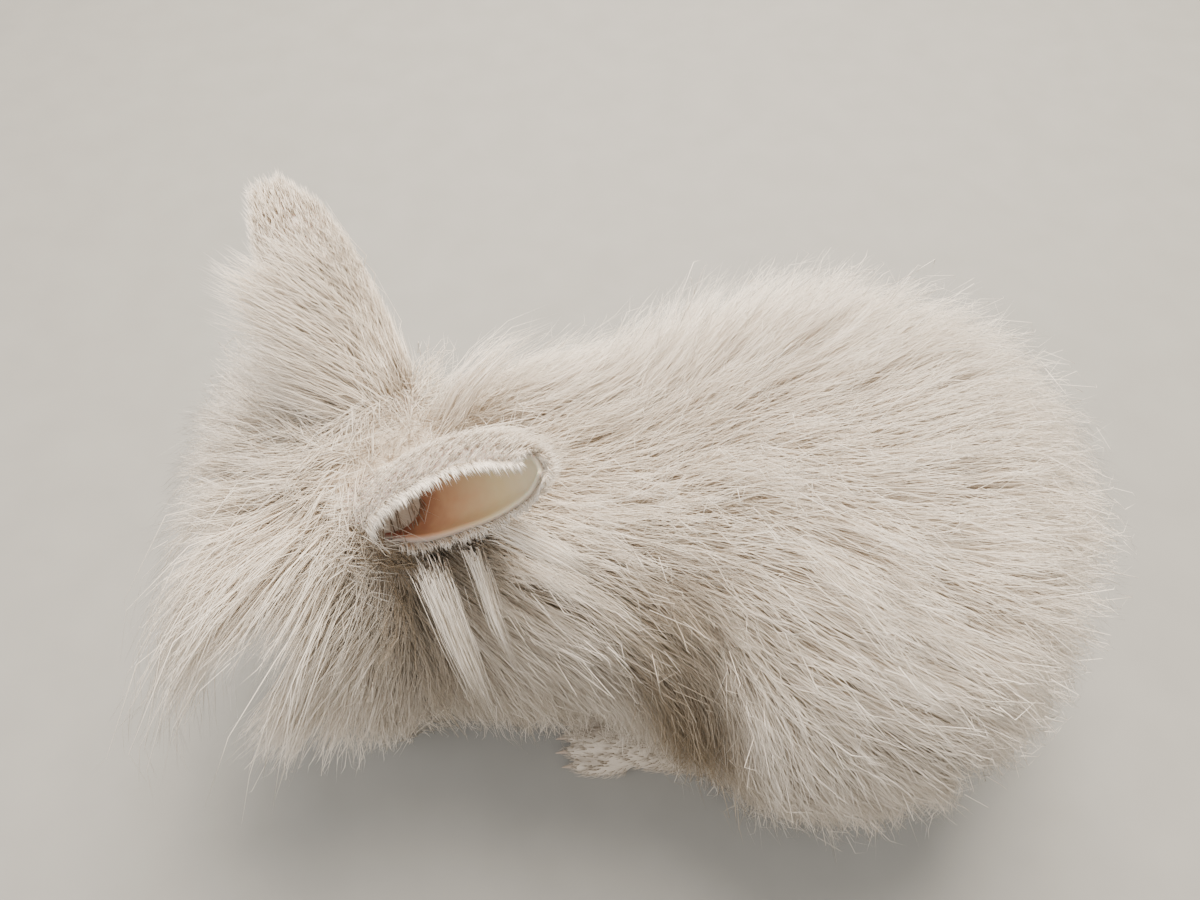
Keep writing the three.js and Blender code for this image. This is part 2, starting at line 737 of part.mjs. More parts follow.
function foreleg(side, grow = 0) {
  const from = vec(FORELEG.from.x, side * FORELEG.from.y, FORELEG.from.z);
  const to = vec(FORELEG.to.x, side * FORELEG.to.y, FORELEG.to.z);
  const length = from.distanceTo(to) + grow * 2;
  const shape = new THREE.CylinderGeometry(FORELEG.thick + grow, FORELEG.thin + grow, length, 12, 1);
  const axis = from.clone().sub(to).normalize();
  shape.applyQuaternion(new THREE.Quaternion().setFromUnitVectors(vec(0, 1, 0), axis));
  const middle = from.clone().lerp(to, 0.5);
  shape.translate(middle.x, middle.y, middle.z);
  return solidOf(shape);
}

const TAIL_CORE = 0.6; // of the tail's full size
const TAIL_ROOT = 138; // where the tail meets the rump, along X
const TAIL = { at: vec(143, 0, 58), size: vec(27, 23, 30) };

// Everything behind an upright plane.
function slabBehind(x) {
  const slab = new THREE.BoxGeometry(FAR, FAR * 2, FAR * 2);
  slab.translate(x + FAR / 2, 0, 0);
  return solidOf(slab);
}

// The core of the head, ended by an upright cut inside the neck.
function headForm(grow) {
  const ended = (p) => Math.max(core(p) - grow, p.x + 26);
  return wrap(ended, inHead(6, 0, -2), HEAD_DETAIL, FORWARD, 0.4);
}

// Assembly

const COLOURS = { coat: 0xd8cfc4, ear: 0xc9a893, eye: 0x2b2226, foot: 0xd9d0c3 };
const rabbit = new THREE.Group();

function add(name, made, colour) {
  const shape = geometryOf(outermost(made));
  shape.computeVertexNormals();
  const look = new THREE.MeshStandardMaterial({ color: colour, roughness: 0.95, metalness: 0 });
  const part = new THREE.Mesh(shape, look);
  part.name = name;
  rabbit.add(part);
}

const TRUNK_BOX = [vec(-200, -134, -24), vec(204, 134, 212)];
const trunk = net(core, ...TRUNK_BOX, TRUNK_CELL);
const trunkGrown = net((p) => core(p) - GAP, ...TRUNK_BOX, TRUNK_CELL);
const headWhole = headForm(0);
const headGrown = headForm(GAP);

const feetGrown = joined([1, -1].flatMap((side) => [
  paw(FOREPAW, side, GAP),
  paw(HINDPAW, side, GAP),
  foreleg(side, GAP),
]));
const haunchPlugs = (grow) => joined([haunchPlug(1, grow), haunchPlug(-1, grow)]);
const ears = { left: LEFT_EAR, right: RIGHT_EAR };
const earsFilled = joined(Object.values(ears).map(earHull));

// Where wool grows: not on the face, nor under the belly, nor round the legs. On the throat
// and chest it grows from faces that look further down than elsewhere.
function hairy(p) {
  if (-tips(p) < HAIR_CLEAR || p.z < LOWEST_ROOT || core(p) < -CUT_DEPTH) return false;
  const further = p.clone().addScaledVector(lie(p), WALL_CLEAR);
  if (regionAt(further) !== regionAt(p)) return false;
  if (Object.values(ears).some(({ base, tip }) => base.clone().lerp(tip, 0.15).distanceTo(p) < EAR_CLEAR)) {
    return false;
  }
  const lowest = p.x < THROAT_BACK ? -0.85 : -0.5;
  return gradient(core, p).normalize().z > lowest;
}

// The points of a lock's path and those half way between them, past its root.
function reachOf({ path }) {
  return path.slice(1).flatMap((p, i) => [path[i].clone().lerp(p, 0.5), p]).slice(1);
}

function overEye(lock) {
  const eyes = [eyeCentre(1), eyeCentre(-1)];
  return reachOf(lock).some((p) => eyes.some((eye) => eye.distanceTo(p) < EYE_CLEAR));
}

function throughLeg(lock) {
  return [1, -1].some((side) => {
    const mirror = vec(1, side, 1);
    const bone = {
      from: FORELEG.from.clone().multiply(mirror),
      to: FORELEG.to.clone().multiply(mirror),
      radius: FORELEG.thick,
    };
    return reachOf(lock).some((p) => capsule(p, bone) < 0);
  });
}

// Joins a core and its locks, and cuts them clear of what already lies over them.
const covering = [];
const coveringPaths = [];
function addCoated(name, { made, grown, locks, cuts = [] }) {
  const free = locks.filter((lock) => !overEye(lock) && !throughLeg(lock)
    && !reachOf(lock).some((p) => coveringPaths.some((q) => q.distanceTo(p) < LOCK_APART)));
  const whole = joined([made, ...free.map((lock) => lockSolid(lock, 0))]);
  const clear = joined([...covering, feetGrown, earsFilled, ...cuts]).add(FLOOR);
  add(name, whole.subtract(clear), COLOURS.coat);
  covering.push(joined([grown, ...free.map((lock) => lockSolid(lock, GAP))]));
  coveringPaths.push(...free.flatMap(reachOf));
}

const eyeHoles = joined([1, -1].map((side) => ball(eyeCentre(side), EYE_RADIUS + GAP)));
const headCore = headWhole.intersect(aheadOf(HEAD_WALL));
addCoated('head', {
  made: joined([headCore, lids(1), lids(-1)]),
  grown: headGrown.intersect(aheadOf(HEAD_WALL, GAP / 2)),
  locks: locksOn(headCore, MANE_LOCK, { allowed: hairy, seed: 19 }),
  cuts: [eyeHoles, eyeOpening(1), eyeOpening(-1), ...faceCuts()],
});

const neckCore = trunk.intersect(aheadOf(NECK_WALL)).subtract(aheadOf(HEAD_WALL, GAP * 1.6));
addCoated('neck', {
  made: neckCore,
  grown: trunkGrown.intersect(aheadOf(NECK_WALL, GAP / 2)),
  locks: locksOn(neckCore, LOCK, { allowed: hairy, seed: 12 }),
});

const tailTips = (p) => ellipsoid(p, TAIL);
const tailForm = (grow) => lump(TAIL.at, TAIL.size.clone().multiplyScalar(TAIL_CORE), grow, 10, 7)
  .intersect(slabBehind(TAIL_ROOT - grow));
const tailCore = tailForm(0);
addCoated('tail', {
  made: tailCore,
  grown: tailForm(GAP),
  locks: locksOn(tailCore, TAIL_LOCK, {
    outline: tailTips,
    allowed: (p) => p.x > TAIL_ROOT + 3,
    seed: 16,
  }),
});

for (const [word, y] of [['left', -1], ['right', 1]]) {
  const haunchCore = trunk.intersect(haunchPlug(y, 0)).subtract(aheadOf(NECK_WALL, GAP * 1.6));
  addCoated(`haunch_${word}`, {
    made: haunchCore,
    grown: trunkGrown.intersect(haunchPlug(y, GAP / 2)),
    locks: locksOn(haunchCore, LOCK, { allowed: hairy, seed: y < 0 ? 14 : 15 }),
  });
}

const torsoCore = trunk.subtract(aheadOf(NECK_WALL, GAP * 1.6)).subtract(haunchPlugs(GAP));
addCoated('torso', {
  made: torsoCore,
  grown: torsoCore,
  locks: locksOn(torsoCore, LOCK, { allowed: hairy, seed: 13 }),
});

for (const [word, y] of [['left', -1], ['right', 1]]) {
  add(`ear_${word}`, earShell(ears[word]).subtract(headGrown), COLOURS.ear);
  add(`eye_${word}`, ball(eyeCentre(-y), EYE_RADIUS), COLOURS.eye);
  add(`foreleg_${word}`, foreleg(y).subtract(paw(FOREPAW, y, GAP)), COLOURS.foot);
  add(`forepaw_${word}`, paw(FOREPAW, y), COLOURS.foot);
  add(`hindpaw_${word}`, paw(HINDPAW, y), COLOURS.foot);
}

// The floor is at zero, and the origin is under the middle of the whole rabbit.
const box = new THREE.Box3().setFromObject(rabbit);
const middle = box.getCenter(vec(0, 0, 0));
const hundredth = (x) => Math.round(x * 100) / 100;
rabbit.position.set(-hundredth(middle.x), -hundredth(middle.y), -hundredth(box.min.z));
const standing = new THREE.Group();
standing.add(rabbit);

export default standing;
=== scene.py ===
# %% [markdown]
# A long-haired angora rabbit, life size, sitting low on a pale floor. Its left ear is laid
# back and its right ear stands up. A skin is modelled from smooth round forms, and the coat
# is combed over it as fine tapered tufts of solid mesh. Lengths are worked out in
# millimetres in the rabbit's own frame and turned to metres when a mesh is made.

import math

import bmesh
import bpy
import numpy as np
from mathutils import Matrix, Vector
from mathutils.kdtree import KDTree


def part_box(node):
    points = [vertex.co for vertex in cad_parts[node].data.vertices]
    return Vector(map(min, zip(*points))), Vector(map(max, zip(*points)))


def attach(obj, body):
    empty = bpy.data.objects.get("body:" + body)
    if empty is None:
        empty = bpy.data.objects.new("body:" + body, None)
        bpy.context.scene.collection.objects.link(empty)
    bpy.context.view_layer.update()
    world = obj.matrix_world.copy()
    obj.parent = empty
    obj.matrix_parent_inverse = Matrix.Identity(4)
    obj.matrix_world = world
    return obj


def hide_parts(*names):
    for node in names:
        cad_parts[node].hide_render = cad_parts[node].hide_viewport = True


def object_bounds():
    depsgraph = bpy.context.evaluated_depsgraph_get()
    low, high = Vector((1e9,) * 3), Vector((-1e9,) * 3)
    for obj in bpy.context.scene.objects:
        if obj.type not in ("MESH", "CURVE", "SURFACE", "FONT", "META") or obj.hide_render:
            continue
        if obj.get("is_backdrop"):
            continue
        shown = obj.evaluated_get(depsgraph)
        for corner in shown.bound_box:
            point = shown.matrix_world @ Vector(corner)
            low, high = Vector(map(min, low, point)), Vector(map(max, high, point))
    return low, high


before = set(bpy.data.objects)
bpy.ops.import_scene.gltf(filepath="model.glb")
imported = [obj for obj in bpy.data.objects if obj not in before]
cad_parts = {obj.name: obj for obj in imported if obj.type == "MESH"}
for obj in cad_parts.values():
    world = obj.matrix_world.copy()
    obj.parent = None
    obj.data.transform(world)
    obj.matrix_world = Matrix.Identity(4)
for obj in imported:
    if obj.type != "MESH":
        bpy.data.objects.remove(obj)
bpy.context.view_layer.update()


# %% [markdown]
# The forms below are few and named. Everything else, such as where a tuft grows and which way
# it lies, is worked out from them, so that skin and coat always fit each other. Paired forms
# are given for one side and mirrored.

# %% Plain maths on arrays of points
def unit(v):
    return v / np.maximum(np.linalg.norm(v, axis=-1, keepdims=True), 1e-9)


def mix(a, b, t):
    return a + (b - a) * t


def smooth(low, high, x):
    t = np.clip((x - low) / (high - low), 0, 1)
    return t * t * (3 - 2 * t)


def across(v, normal):
    """The part of a direction that lies in the plane of a surface, as a unit vector."""
    return unit(v - np.sum(v * normal, -1, keepdims=True) * normal)


# %% The head's own directions: forward to the nose, left side and up
HEAD_CENTRE = np.array([-90.0, 0, 108])
HEAD_PITCH = math.radians(18)
HEAD_SCALE = 1.08
FORWARD = np.array([-math.cos(HEAD_PITCH), 0, -math.sin(HEAD_PITCH)])
LEFT = np.array([0.0, -1, 0])
UP = np.array([-math.sin(HEAD_PITCH), 0, math.cos(HEAD_PITCH)])
HEAD_AXES = np.stack([FORWARD, LEFT, UP])


def on_head(forward, side, up):
    return HEAD_CENTRE + HEAD_SCALE * np.array([forward, side, up]) @ HEAD_AXES


def to_head(p):
    return (p - HEAD_CENTRE) / HEAD_SCALE @ HEAD_AXES.T


# %% Where the frame stands, from the middle of the left eye
EYE = (13, 18.5, 5)
EYE_RADIUS = 8.6
eye_low, eye_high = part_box("eye_left")
SHIFT = np.array((eye_low + eye_high) / 2) * 1000 - on_head(*EYE)
print("rabbit's frame is shifted by", SHIFT.round(2), "mm")


def metres(p):
    return (np.asarray(p) + SHIFT) / 1000


# %% The round forms of the body: centre and half sizes, in millimetres
TRUNK = [
    ((64, 0, 84), (78, 56, 60)),  # loin and rump
    ((-18, 0, 80), (72, 40, 54)),  # ribs
]
TRUNK_PAIRS = [
    ((72, 47, 62), (54, 28, 50)),  # haunch
    ((-46, 20, 72), (32, 21, 40)),  # shoulder
]
NECK = ((-40, 0, 96), (-74, 0, 110), 32, 32)
SKULL = [
    ((-8, 0, 4), (34, 25, 26)),  # brain case
    ((20, 0, 1), (33, 17, 19)),  # bridge of the nose
    ((38, 0, -4), (16, 13, 14)),  # muzzle
    ((30, 0, -19), (16, 9, 8)),  # chin
]
SKULL_PAIRS = [
    ((41, 7, -8), (11, 8, 9)),  # whisker pad
    ((4, 14, -14), (26, 13, 17)),  # cheek and jaw
    ((13, 16, 13), (12, 7, 6)),  # brow
]
EYE_HOLLOW = ((15, 25, 4), (12, 7, 10))
FORELEG = ((-64, 25, 66), (-90, 21.5, 14), 14, 8.5)
FOREPAW = ((-98, 21, 8), (19, 9.5, 9), (8, 3.2, 4.4), 7.0)
HINDPAW = ((34, 55, 9), (50, 11.5, 10), (12, 3.8, 5.2), 8.4)
TAIL_BONE = ((143, 0, 58), (16, 13, 18))
COAT = [
    ((66, 0, 94), (96, 90, 90), 2.2),  # loin and rump
    ((-22, 0, 84), (84, 67, 80), 2.4),  # ribs and shoulders
    ((-115, 0, 92), (45, 80, 64), 2.8),  # mane round the face
    ((-80, 0, 112), (40, 48, 43), 2),  # crown
]
COAT_PAIRS = [
    ((76, 48, 64), (60, 50, 61), 2.2),  # haunch
    ((-114, 47, 68), (38, 32, 46), 2),  # cheek
]
FOLDS = [
    ((12, -60, 147), (24, -88, 50), 10, 10),  # between shoulder and haunch
    ((-66, -44, 138), (-63, -78, 50), 5, 9),  # behind the cheek
]
FACE_OPENING = ((-144, 0, 94), (54, 42, 28))
TAIL_TIPS = ((143, 0, 58), (27, 23, 30))
FACE_EDGE = 6
JAW_WOOL = 12
CROWN = np.array([-70.0, 0, 154])
CROWN_SPREAD = np.array([1.5, 1, 0.75])


# %% Distances to the forms, less than nothing inside
def ellipsoid(p, at, size, power=2.0):
    q = np.abs((p - np.array(at)) / np.array(size))
    if power == 2.0:
        reach = np.sqrt(np.sum(q * q, -1)) + 1e-9
        slope = np.sqrt(np.sum((q / np.array(size)) ** 2, -1)) / reach
    else:
        reach = np.sum(q**power, -1) ** (1 / power) + 1e-9
        steep = (q / reach[..., None]) ** (power - 1) / np.array(size)
        slope = np.sqrt(np.sum(steep * steep, -1))
    return np.where(reach < 1e-6, -min(size), (reach - 1) / np.maximum(slope, 1e-6))


def capsule(p, start, end, radius, end_radius):
    a = np.array(start, float)
    axis = np.array(end, float) - a
    t = np.clip((p - a) @ axis / (axis @ axis), 0, 1)
    return np.linalg.norm(p - a - t[..., None] * axis, axis=-1) - mix(radius, end_radius, t)


def blend(a, b, width):
    h = np.maximum(width - np.abs(a - b), 0) / width
    return np.minimum(a, b) - h * h * width * 0.25


def mirrored(p):
    """Points with both sides folded onto one."""
    return p * [1, 0, 1] + np.abs(p) * [0, 1, 0]


# %% Skin and coat as distances. The widths are those over which forms flow into one another
TRUNK_BLEND = 26
LIMB_BLEND = 12
SKULL_BLEND = 8
CHEEK_BLEND = 5
HOLLOW_BLEND = 5
NECK_BLEND = 14
TAIL_BLEND = 10
TOE_BLEND = 1.6
PAW_BLEND = 5
LEG_BLEND = 6
COAT_BLEND = 10
FOLD_BLEND = 12
FACE_BLEND = 6
TOES = 4


def trunk_skin(p):
    q = mirrored(p)
    d = capsule(p, *NECK)
    for form in TRUNK:
        d = blend(d, ellipsoid(p, *form), TRUNK_BLEND)
    for form in TRUNK_PAIRS:
        d = blend(d, ellipsoid(q, *form), LIMB_BLEND)
    return d


def head_skin(p):
    q = mirrored(to_head(p))
    d = np.full(len(p), 1e3)
    for form in SKULL:
        d = blend(d, ellipsoid(q, *form), SKULL_BLEND)
    for form in SKULL_PAIRS:
        d = blend(d, ellipsoid(q, *form), CHEEK_BLEND)
    return -blend(-d, ellipsoid(q, *EYE_HOLLOW), HOLLOW_BLEND) * HEAD_SCALE


def body_skin(p):
    d = blend(trunk_skin(p), head_skin(p), NECK_BLEND)
    return blend(d, ellipsoid(p, *TAIL_BONE), TAIL_BLEND)


def toe_place(t, at, size, toe, spread):
    """How far forward and aside a toe lies. The outer toes are set back."""
    aside = (t - 1.5) / 1.5
    return at[0] - size[0] + toe[0] * (0.55 + 0.25 * aside * aside), at[1] + aside * spread


def paw_skin(q, at, size, toe, spread):
    d = ellipsoid(q, at, size)
    for t in range(TOES):
        d = blend(d, ellipsoid(q, (*toe_place(t, at, size, toe, spread), toe[2] + 0.3), toe), TOE_BLEND)
    return d


def legs_skin(p):
    q = mirrored(p)
    d = blend(capsule(q, *FORELEG), paw_skin(q, *FOREPAW), PAW_BLEND)
    return np.minimum(d, paw_skin(q, *HINDPAW))


def coat_tips(p):
    q = mirrored(p)
    d = np.full(len(p), 1e3)
    for at, size, power in COAT:
        d = blend(d, ellipsoid(p, at, size, power), COAT_BLEND)
    for at, size, power in COAT_PAIRS:
        d = blend(d, ellipsoid(q, at, size, power), COAT_BLEND)
    for fold in FOLDS:
        d = -blend(-d, capsule(p, *fold), FOLD_BLEND)
    d = -blend(-d, ellipsoid(p, *FACE_OPENING), FACE_BLEND)
    return np.minimum(d, ellipsoid(p, *TAIL_TIPS))


def slope_of(field, p, h=0.5):
    steps = np.eye(3) * h
    both = [field(p + step) - field(p - step) for step in steps]
    return np.stack(both, -1) / (2 * h)


def settle(field, p, rounds=3):
    """Moves points to where the field is nothing."""
    for _ in range(rounds):
        g = slope_of(field, p)
        p = p - g * (field(p) / np.maximum(np.sum(g * g, -1), 0.1))[:, None]
    return p


# %% [markdown]
# A rabbit's face is small folds on a smooth skull: thick lids round a prominent eye, slit
# nostrils that slope like a V, the cleft below them and the short line of the mouth. They
# could be sculpted by hand, but here each is a thin form joined to the head or taken from it,
# so that they stay true when the head is turned or scaled.

# %% Lids, nostrils and mouth
LID = 1.7
LID_OPENING = (7.4, 5.6)  # half width and half height between the lids
LID_RIM = (7.6, 5.8)  # the middle of the lids' bare edge
LID_FUR = (7.9, 6.1)  # where the short fur starts
EYE_TILT = math.radians(12)
EYE_OUT = unit(np.array([0.22, 1, 0.12]))
EYE_ALONG = unit(np.cross(EYE_OUT, [math.sin(EYE_TILT), 0, math.cos(EYE_TILT)]))
EYE_ABOVE = np.cross(EYE_ALONG, EYE_OUT)
NOSTRIL = (3.4, 3.0, 1.2)
NOSTRIL_SLOPE = np.array([[1, 0, 0], [0, 0.72, -0.69], [0, 0.69, 0.72]])
LINE_RADIUS = 1.0
CLEFT = [(57, 0, -4), (55, 0, -8), (52, 0, -13)]
MOUTH = [(52, 0.5, -13), (49, 4, -16), (43, 9, -17), (36, 12, -17.5)]


def on_face(points):
    world = np.array([on_head(*p) for p in points])
    return to_head(settle(head_skin, world, 6))


cleft = on_face(CLEFT)
mouth = on_face(MOUTH)
nostril = on_face([(57, 3.5, -1)])[0]
print("mouth corner", mouth[-1].round(1))


def line(q, points, radius):
    pieces = [capsule(q, a, b, radius, radius) for a, b in zip(points[:-1], points[1:])]
    return np.minimum.reduce(pieces)


def round_eye(q, size):
    """1 on an oval round the eye, of this half width and half height, and less inside it."""
    eye = q - np.array(EYE)
    return np.hypot((eye @ EYE_ALONG) / size[0], (eye @ EYE_ABOVE) / size[1])


def face_skin(p, d):
    """The skin's distance with the lids, nostrils and mouth added to it."""
    near = to_head(p)[:, 0] > -6
    q = mirrored(to_head(p[near]))
    f = d[near] / HEAD_SCALE
    eye = q - np.array(EYE)
    out = eye @ EYE_OUT
    globe = np.linalg.norm(eye, axis=-1)
    radius = EYE_RADIUS / HEAD_SCALE
    f = blend(f, globe - radius - LID, 2.5)
    opening = (round_eye(q, LID_OPENING) - 1) * LID_OPENING[1]
    f = -blend(-f, np.maximum(opening, -out), 0.8)
    f = np.maximum(f, radius + 0.25 - globe)
    slit = (q - nostril) @ NOSTRIL_SLOPE
    f = -blend(-f, ellipsoid(slit, (0, 0, 0), NOSTRIL), 0.8)
    for groove in (cleft, mouth):
        f = -blend(-f, line(q, groove, LINE_RADIUS), 1.0)
    d = d.copy()
    d[near] = f * HEAD_SCALE
    return d


def skin(p):
    d = blend(body_skin(p), legs_skin(p), LEG_BLEND)
    return np.maximum(face_skin(p, d), -p[:, 2])


# %% [markdown]
# The skin is one closed surface, so that no seam shows. A surface net is laid over a grid of
# distances, relaxed so that its faces are even, and then split finer on the face and feet,
# where small forms need it. Metaballs could make such a skin too, but they give no hold on
# where the fine faces go.

# %% A surface net over a field
def surface_net(field, low, high, cell):
    low = np.array(low, float)
    counts = np.ceil((np.array(high) - low) / cell).astype(int) + 1
    axes = [low[a] + cell * np.arange(counts[a]) for a in range(3)]
    grid = np.stack(np.meshgrid(*axes, indexing="ij"), -1).reshape(-1, 3)
    value = field(grid).reshape(counts)
    inside = value < 0
    cells = counts - 1
    total = np.zeros((cells.prod(), 3))
    hits = np.zeros(cells.prod())
    quads = []
    for a in range(3):
        b, c = (a + 1) % 3, (a + 2) % 3
        first = np.take(inside, range(counts[a] - 1), axis=a)
        second = np.take(inside, range(1, counts[a]), axis=a)
        start = np.argwhere(first != second)
        end = start.copy()
        end[:, a] += 1
        va, vb = value[tuple(start.T)], value[tuple(end.T)]
        point = low + cell * start
        point[:, a] += cell * va / (va - vb)
        corners = []
        for db, dc in ((0, 0), (-1, 0), (-1, -1), (0, -1)):
            at = start.copy()
            at[:, b] += db
            at[:, c] += dc
            flat = np.ravel_multi_index(tuple(at.T), cells)
            np.add.at(total, flat, point)
            np.add.at(hits, flat, 1)
            corners.append(flat)
        quad = np.stack(corners, 1)
        outward = ~inside[tuple(start.T)]
        quad[outward] = quad[outward][:, ::-1]
        quads.append(quad)
    used, faces = np.unique(np.vstack(quads), return_inverse=True)
    return total[used] / hits[used][:, None], faces.reshape(-1, 4)


def relaxed(field, points, quads, rounds):
    for _ in range(rounds):
        total = np.zeros_like(points)
        hits = np.zeros(len(points))
        for n in range(4):
            np.add.at(total, quads[:, n], points[quads[:, (n + 1) % 4]])
            np.add.at(hits, quads[:, n], 1)
        points = settle(field, mix(points, total / hits[:, None], 0.6), 1)
    return points


# %% Split faces finer where the form is small
def refined(field, bm, wanted):
    centres = np.array([f.calc_center_median() for f in bm.faces])
    picked = wanted(centres)
    bm.faces.ensure_lookup_table()
    edges = {e for n in np.flatnonzero(picked) for e in bm.faces[n].edges}
    bmesh.ops.subdivide_edges(bm, edges=list(edges), cuts=1, use_grid_fill=True)
    points = np.array([v.co for v in bm.verts])
    moved = wanted(points)
    points[moved] = settle(field, points[moved], 3)
    for v, p in zip(bm.verts, points):
        v.co = p


def on_face_or_foot(p):
    forward = to_head(p)[:, 0]
    return (forward > 0) | ((p[:, 2] < 20) & (legs_skin(p) < 2))


def on_eye_or_mouth(p):
    q = mirrored(to_head(p))
    by_eye = np.linalg.norm(q - np.array(EYE), axis=-1) < 14
    by_mouth = (q[:, 0] > 34) & (q[:, 2] < 6)
    return by_eye | by_mouth


def on_lid(p):
    q = mirrored(to_head(p))
    return (np.linalg.norm(q - np.array(EYE), axis=-1) < 11.5) & (q[:, 1] > 18)


SKIN_CELL = 3.0
net_points, net_quads = surface_net(skin, (-160, -90, -9), (174, 90, 168), SKIN_CELL)
net_points = relaxed(skin, net_points, net_quads, 3)
net = bpy.data.meshes.new("net")
net.from_pydata(net_points.tolist(), [], net_quads.tolist())
skin_form = bmesh.new()
skin_form.from_mesh(net)
bpy.data.meshes.remove(net)
refined(skin, skin_form, on_face_or_foot)
refined(skin, skin_form, on_eye_or_mouth)
refined(skin, skin_form, on_lid)
bmesh.ops.triangulate(skin_form, faces=skin_form.faces[:])
SKIN_POINTS = np.array([v.co for v in skin_form.verts])
SKIN_TRIANGLES = np.array([[v.index for v in f.verts] for f in skin_form.faces])
skin_form.free()
print("skin:", len(SKIN_TRIANGLES), "triangles")


# %% Turn arrays into a Blender mesh
def mesh_object(name, points, triangles, material, coat=None, uv=None):
    """A mesh object at the origin, from points in the rabbit's frame."""
    mesh = bpy.data.meshes.new(name)
    count = len(triangles)
    mesh.vertices.add(len(points))
    mesh.vertices.foreach_set("co", metres(points).astype(np.float32).ravel())
    mesh.loops.add(count * 3)
    mesh.loops.foreach_set("vertex_index", triangles.astype(np.int32).ravel())
    mesh.polygons.add(count)
    mesh.polygons.foreach_set("loop_start", np.arange(0, count * 3, 3, dtype=np.int32))
    mesh.polygons.foreach_set("use_smooth", np.ones(count, bool))
    if uv is not None:
        layer = mesh.uv_layers.new(name="OFBake")
        layer.uv.foreach_set("vector", uv.astype(np.float32).ravel())
    if coat is not None:
        colour = mesh.attributes.new("coat", "FLOAT_COLOR", "POINT")
        rgba = np.column_stack([coat, np.ones(len(coat))])
        colour.data.foreach_set("color", rgba.astype(np.float32).ravel())
    mesh.update(calc_edges=True)
    mesh.validate()
    mesh.materials.append(material)
    made = bpy.data.objects.new(name, mesh)
    bpy.context.scene.collection.objects.link(made)
    return made


# %% [markdown]
# An angora's wool is pale at the tips and darker and browner towards the skin: partly the
# browner undercoat, and partly painted shade for the shade that the hairs cast on one another.
# So the coat's colour runs from root to tip, and painted shade makes it browner in its folds,
# on the near shoulder, behind the laid-back ear, on the feet and low on the flanks. Skin and
# coat read the same three numbers from a mesh attribute: how far along the hair, how light
# this hair is, and how much painted shade and grey tone the patch takes.

# %% Colours and a function that adds a node
def linear(hex_colour):
    """An sRGB hex colour as the linear colour that a shader takes."""
    parts = [int(hex_colour[i : i + 2], 16) / 255 for i in (1, 3, 5)]
    return [*(c / 12.92 if c < 0.04045 else ((c + 0.055) / 1.055) ** 2.4 for c in parts), 1]


def add(tree, kind, links=None, stops=(), **settings):
    """Adds a node. Settings name its properties or, by place or name, its inputs."""
    node = tree.nodes.new(kind)
    for key, value in settings.items():
        if hasattr(node, key):
            setattr(node, key, value)
        else:
            socket = int(key[1:]) if key[1:].isdigit() else key.replace("_", " ")
            node.inputs[socket].default_value = value
    for key, source in (links or {}).items():
        tree.links.new(source, node.inputs[key])
    if stops:
        elements = node.color_ramp.elements
        while len(elements) < len(stops):
            elements.new(0.5)
        for element, (place, colour) in zip(elements, stops):
            element.position = place
            element.color = linear(colour)
    return node


def new_material(name):
    material = bpy.data.materials.new(name)
    material.use_nodes = True
    tree = material.node_tree
    tree.nodes.clear()
    return material, tree


# %% The wool: fine, dull keratin fibre, so rough and soft-edged with no clear highlight
# The darker of each pair is mostly painted shade, for folds, low flanks and feet, partly grey tone.
TIP_PALE = "#FBF0E1"
TIP_SHADED_GREY = "#9C8A72"
ROOT_PALE = "#DCCBB4"
ROOT_SHADED_GREY = "#5C4632"


def wool_colour(tree):
    coat = add(tree, "ShaderNodeAttribute", attribute_name="coat")
    parts = add(tree, "ShaderNodeSeparateColor", {0: coat.outputs["Color"]})
    along, light, shade_and_grey = parts.outputs
    # The last channel darkens tips and roots with painted shade, and a little grey tone of the fur.
    tips, roots = (
        add(tree, "ShaderNodeValToRGB", {"Fac": shade_and_grey}, stops=[(0, pale), (1, dark)]).outputs[0]
        for pale, dark in ((TIP_PALE, TIP_SHADED_GREY), (ROOT_PALE, ROOT_SHADED_GREY))
    )
    # Roots are darker than tips: partly the browner undercoat, partly painted shade deep in the coat.
    eased = add(tree, "ShaderNodeMath", {0: along}, operation="POWER", _1=0.55)
    ends = {"Factor": eased.outputs[0], 6: roots, 7: tips}
    hair = add(tree, "ShaderNodeMix", ends, data_type="RGBA")
    shade = add(tree, "ShaderNodeMapRange", {"Value": light}, To_Min=0.88, To_Max=1.06)
    shaded = {0: hair.outputs[2], 1: shade.outputs[0]}
    return add(tree, "ShaderNodeVectorMath", shaded, operation="MULTIPLY").outputs[0]


def wool_material(name):
    material, tree = new_material(name)
    colour = {"Base Color": wool_colour(tree)}
    surface = add(tree, "ShaderNodeBsdfPrincipled", colour, Roughness=0.85, Specular_IOR_Level=0.0)
    add(tree, "ShaderNodeOutputMaterial", {"Surface": surface.outputs[0]})
    return material


wool = wool_material("angora_wool_fibre")


# %% [markdown]
# Under the wool the skin carries the same colours as the roots of the hair. On the face and
# feet the hair is too short and flat to part, so there it is drawn as a fine streaky bump,
# with small tufts over it where it breaks the outline.

# %% Short fur on skin
BARE_PINK = "#B27766"


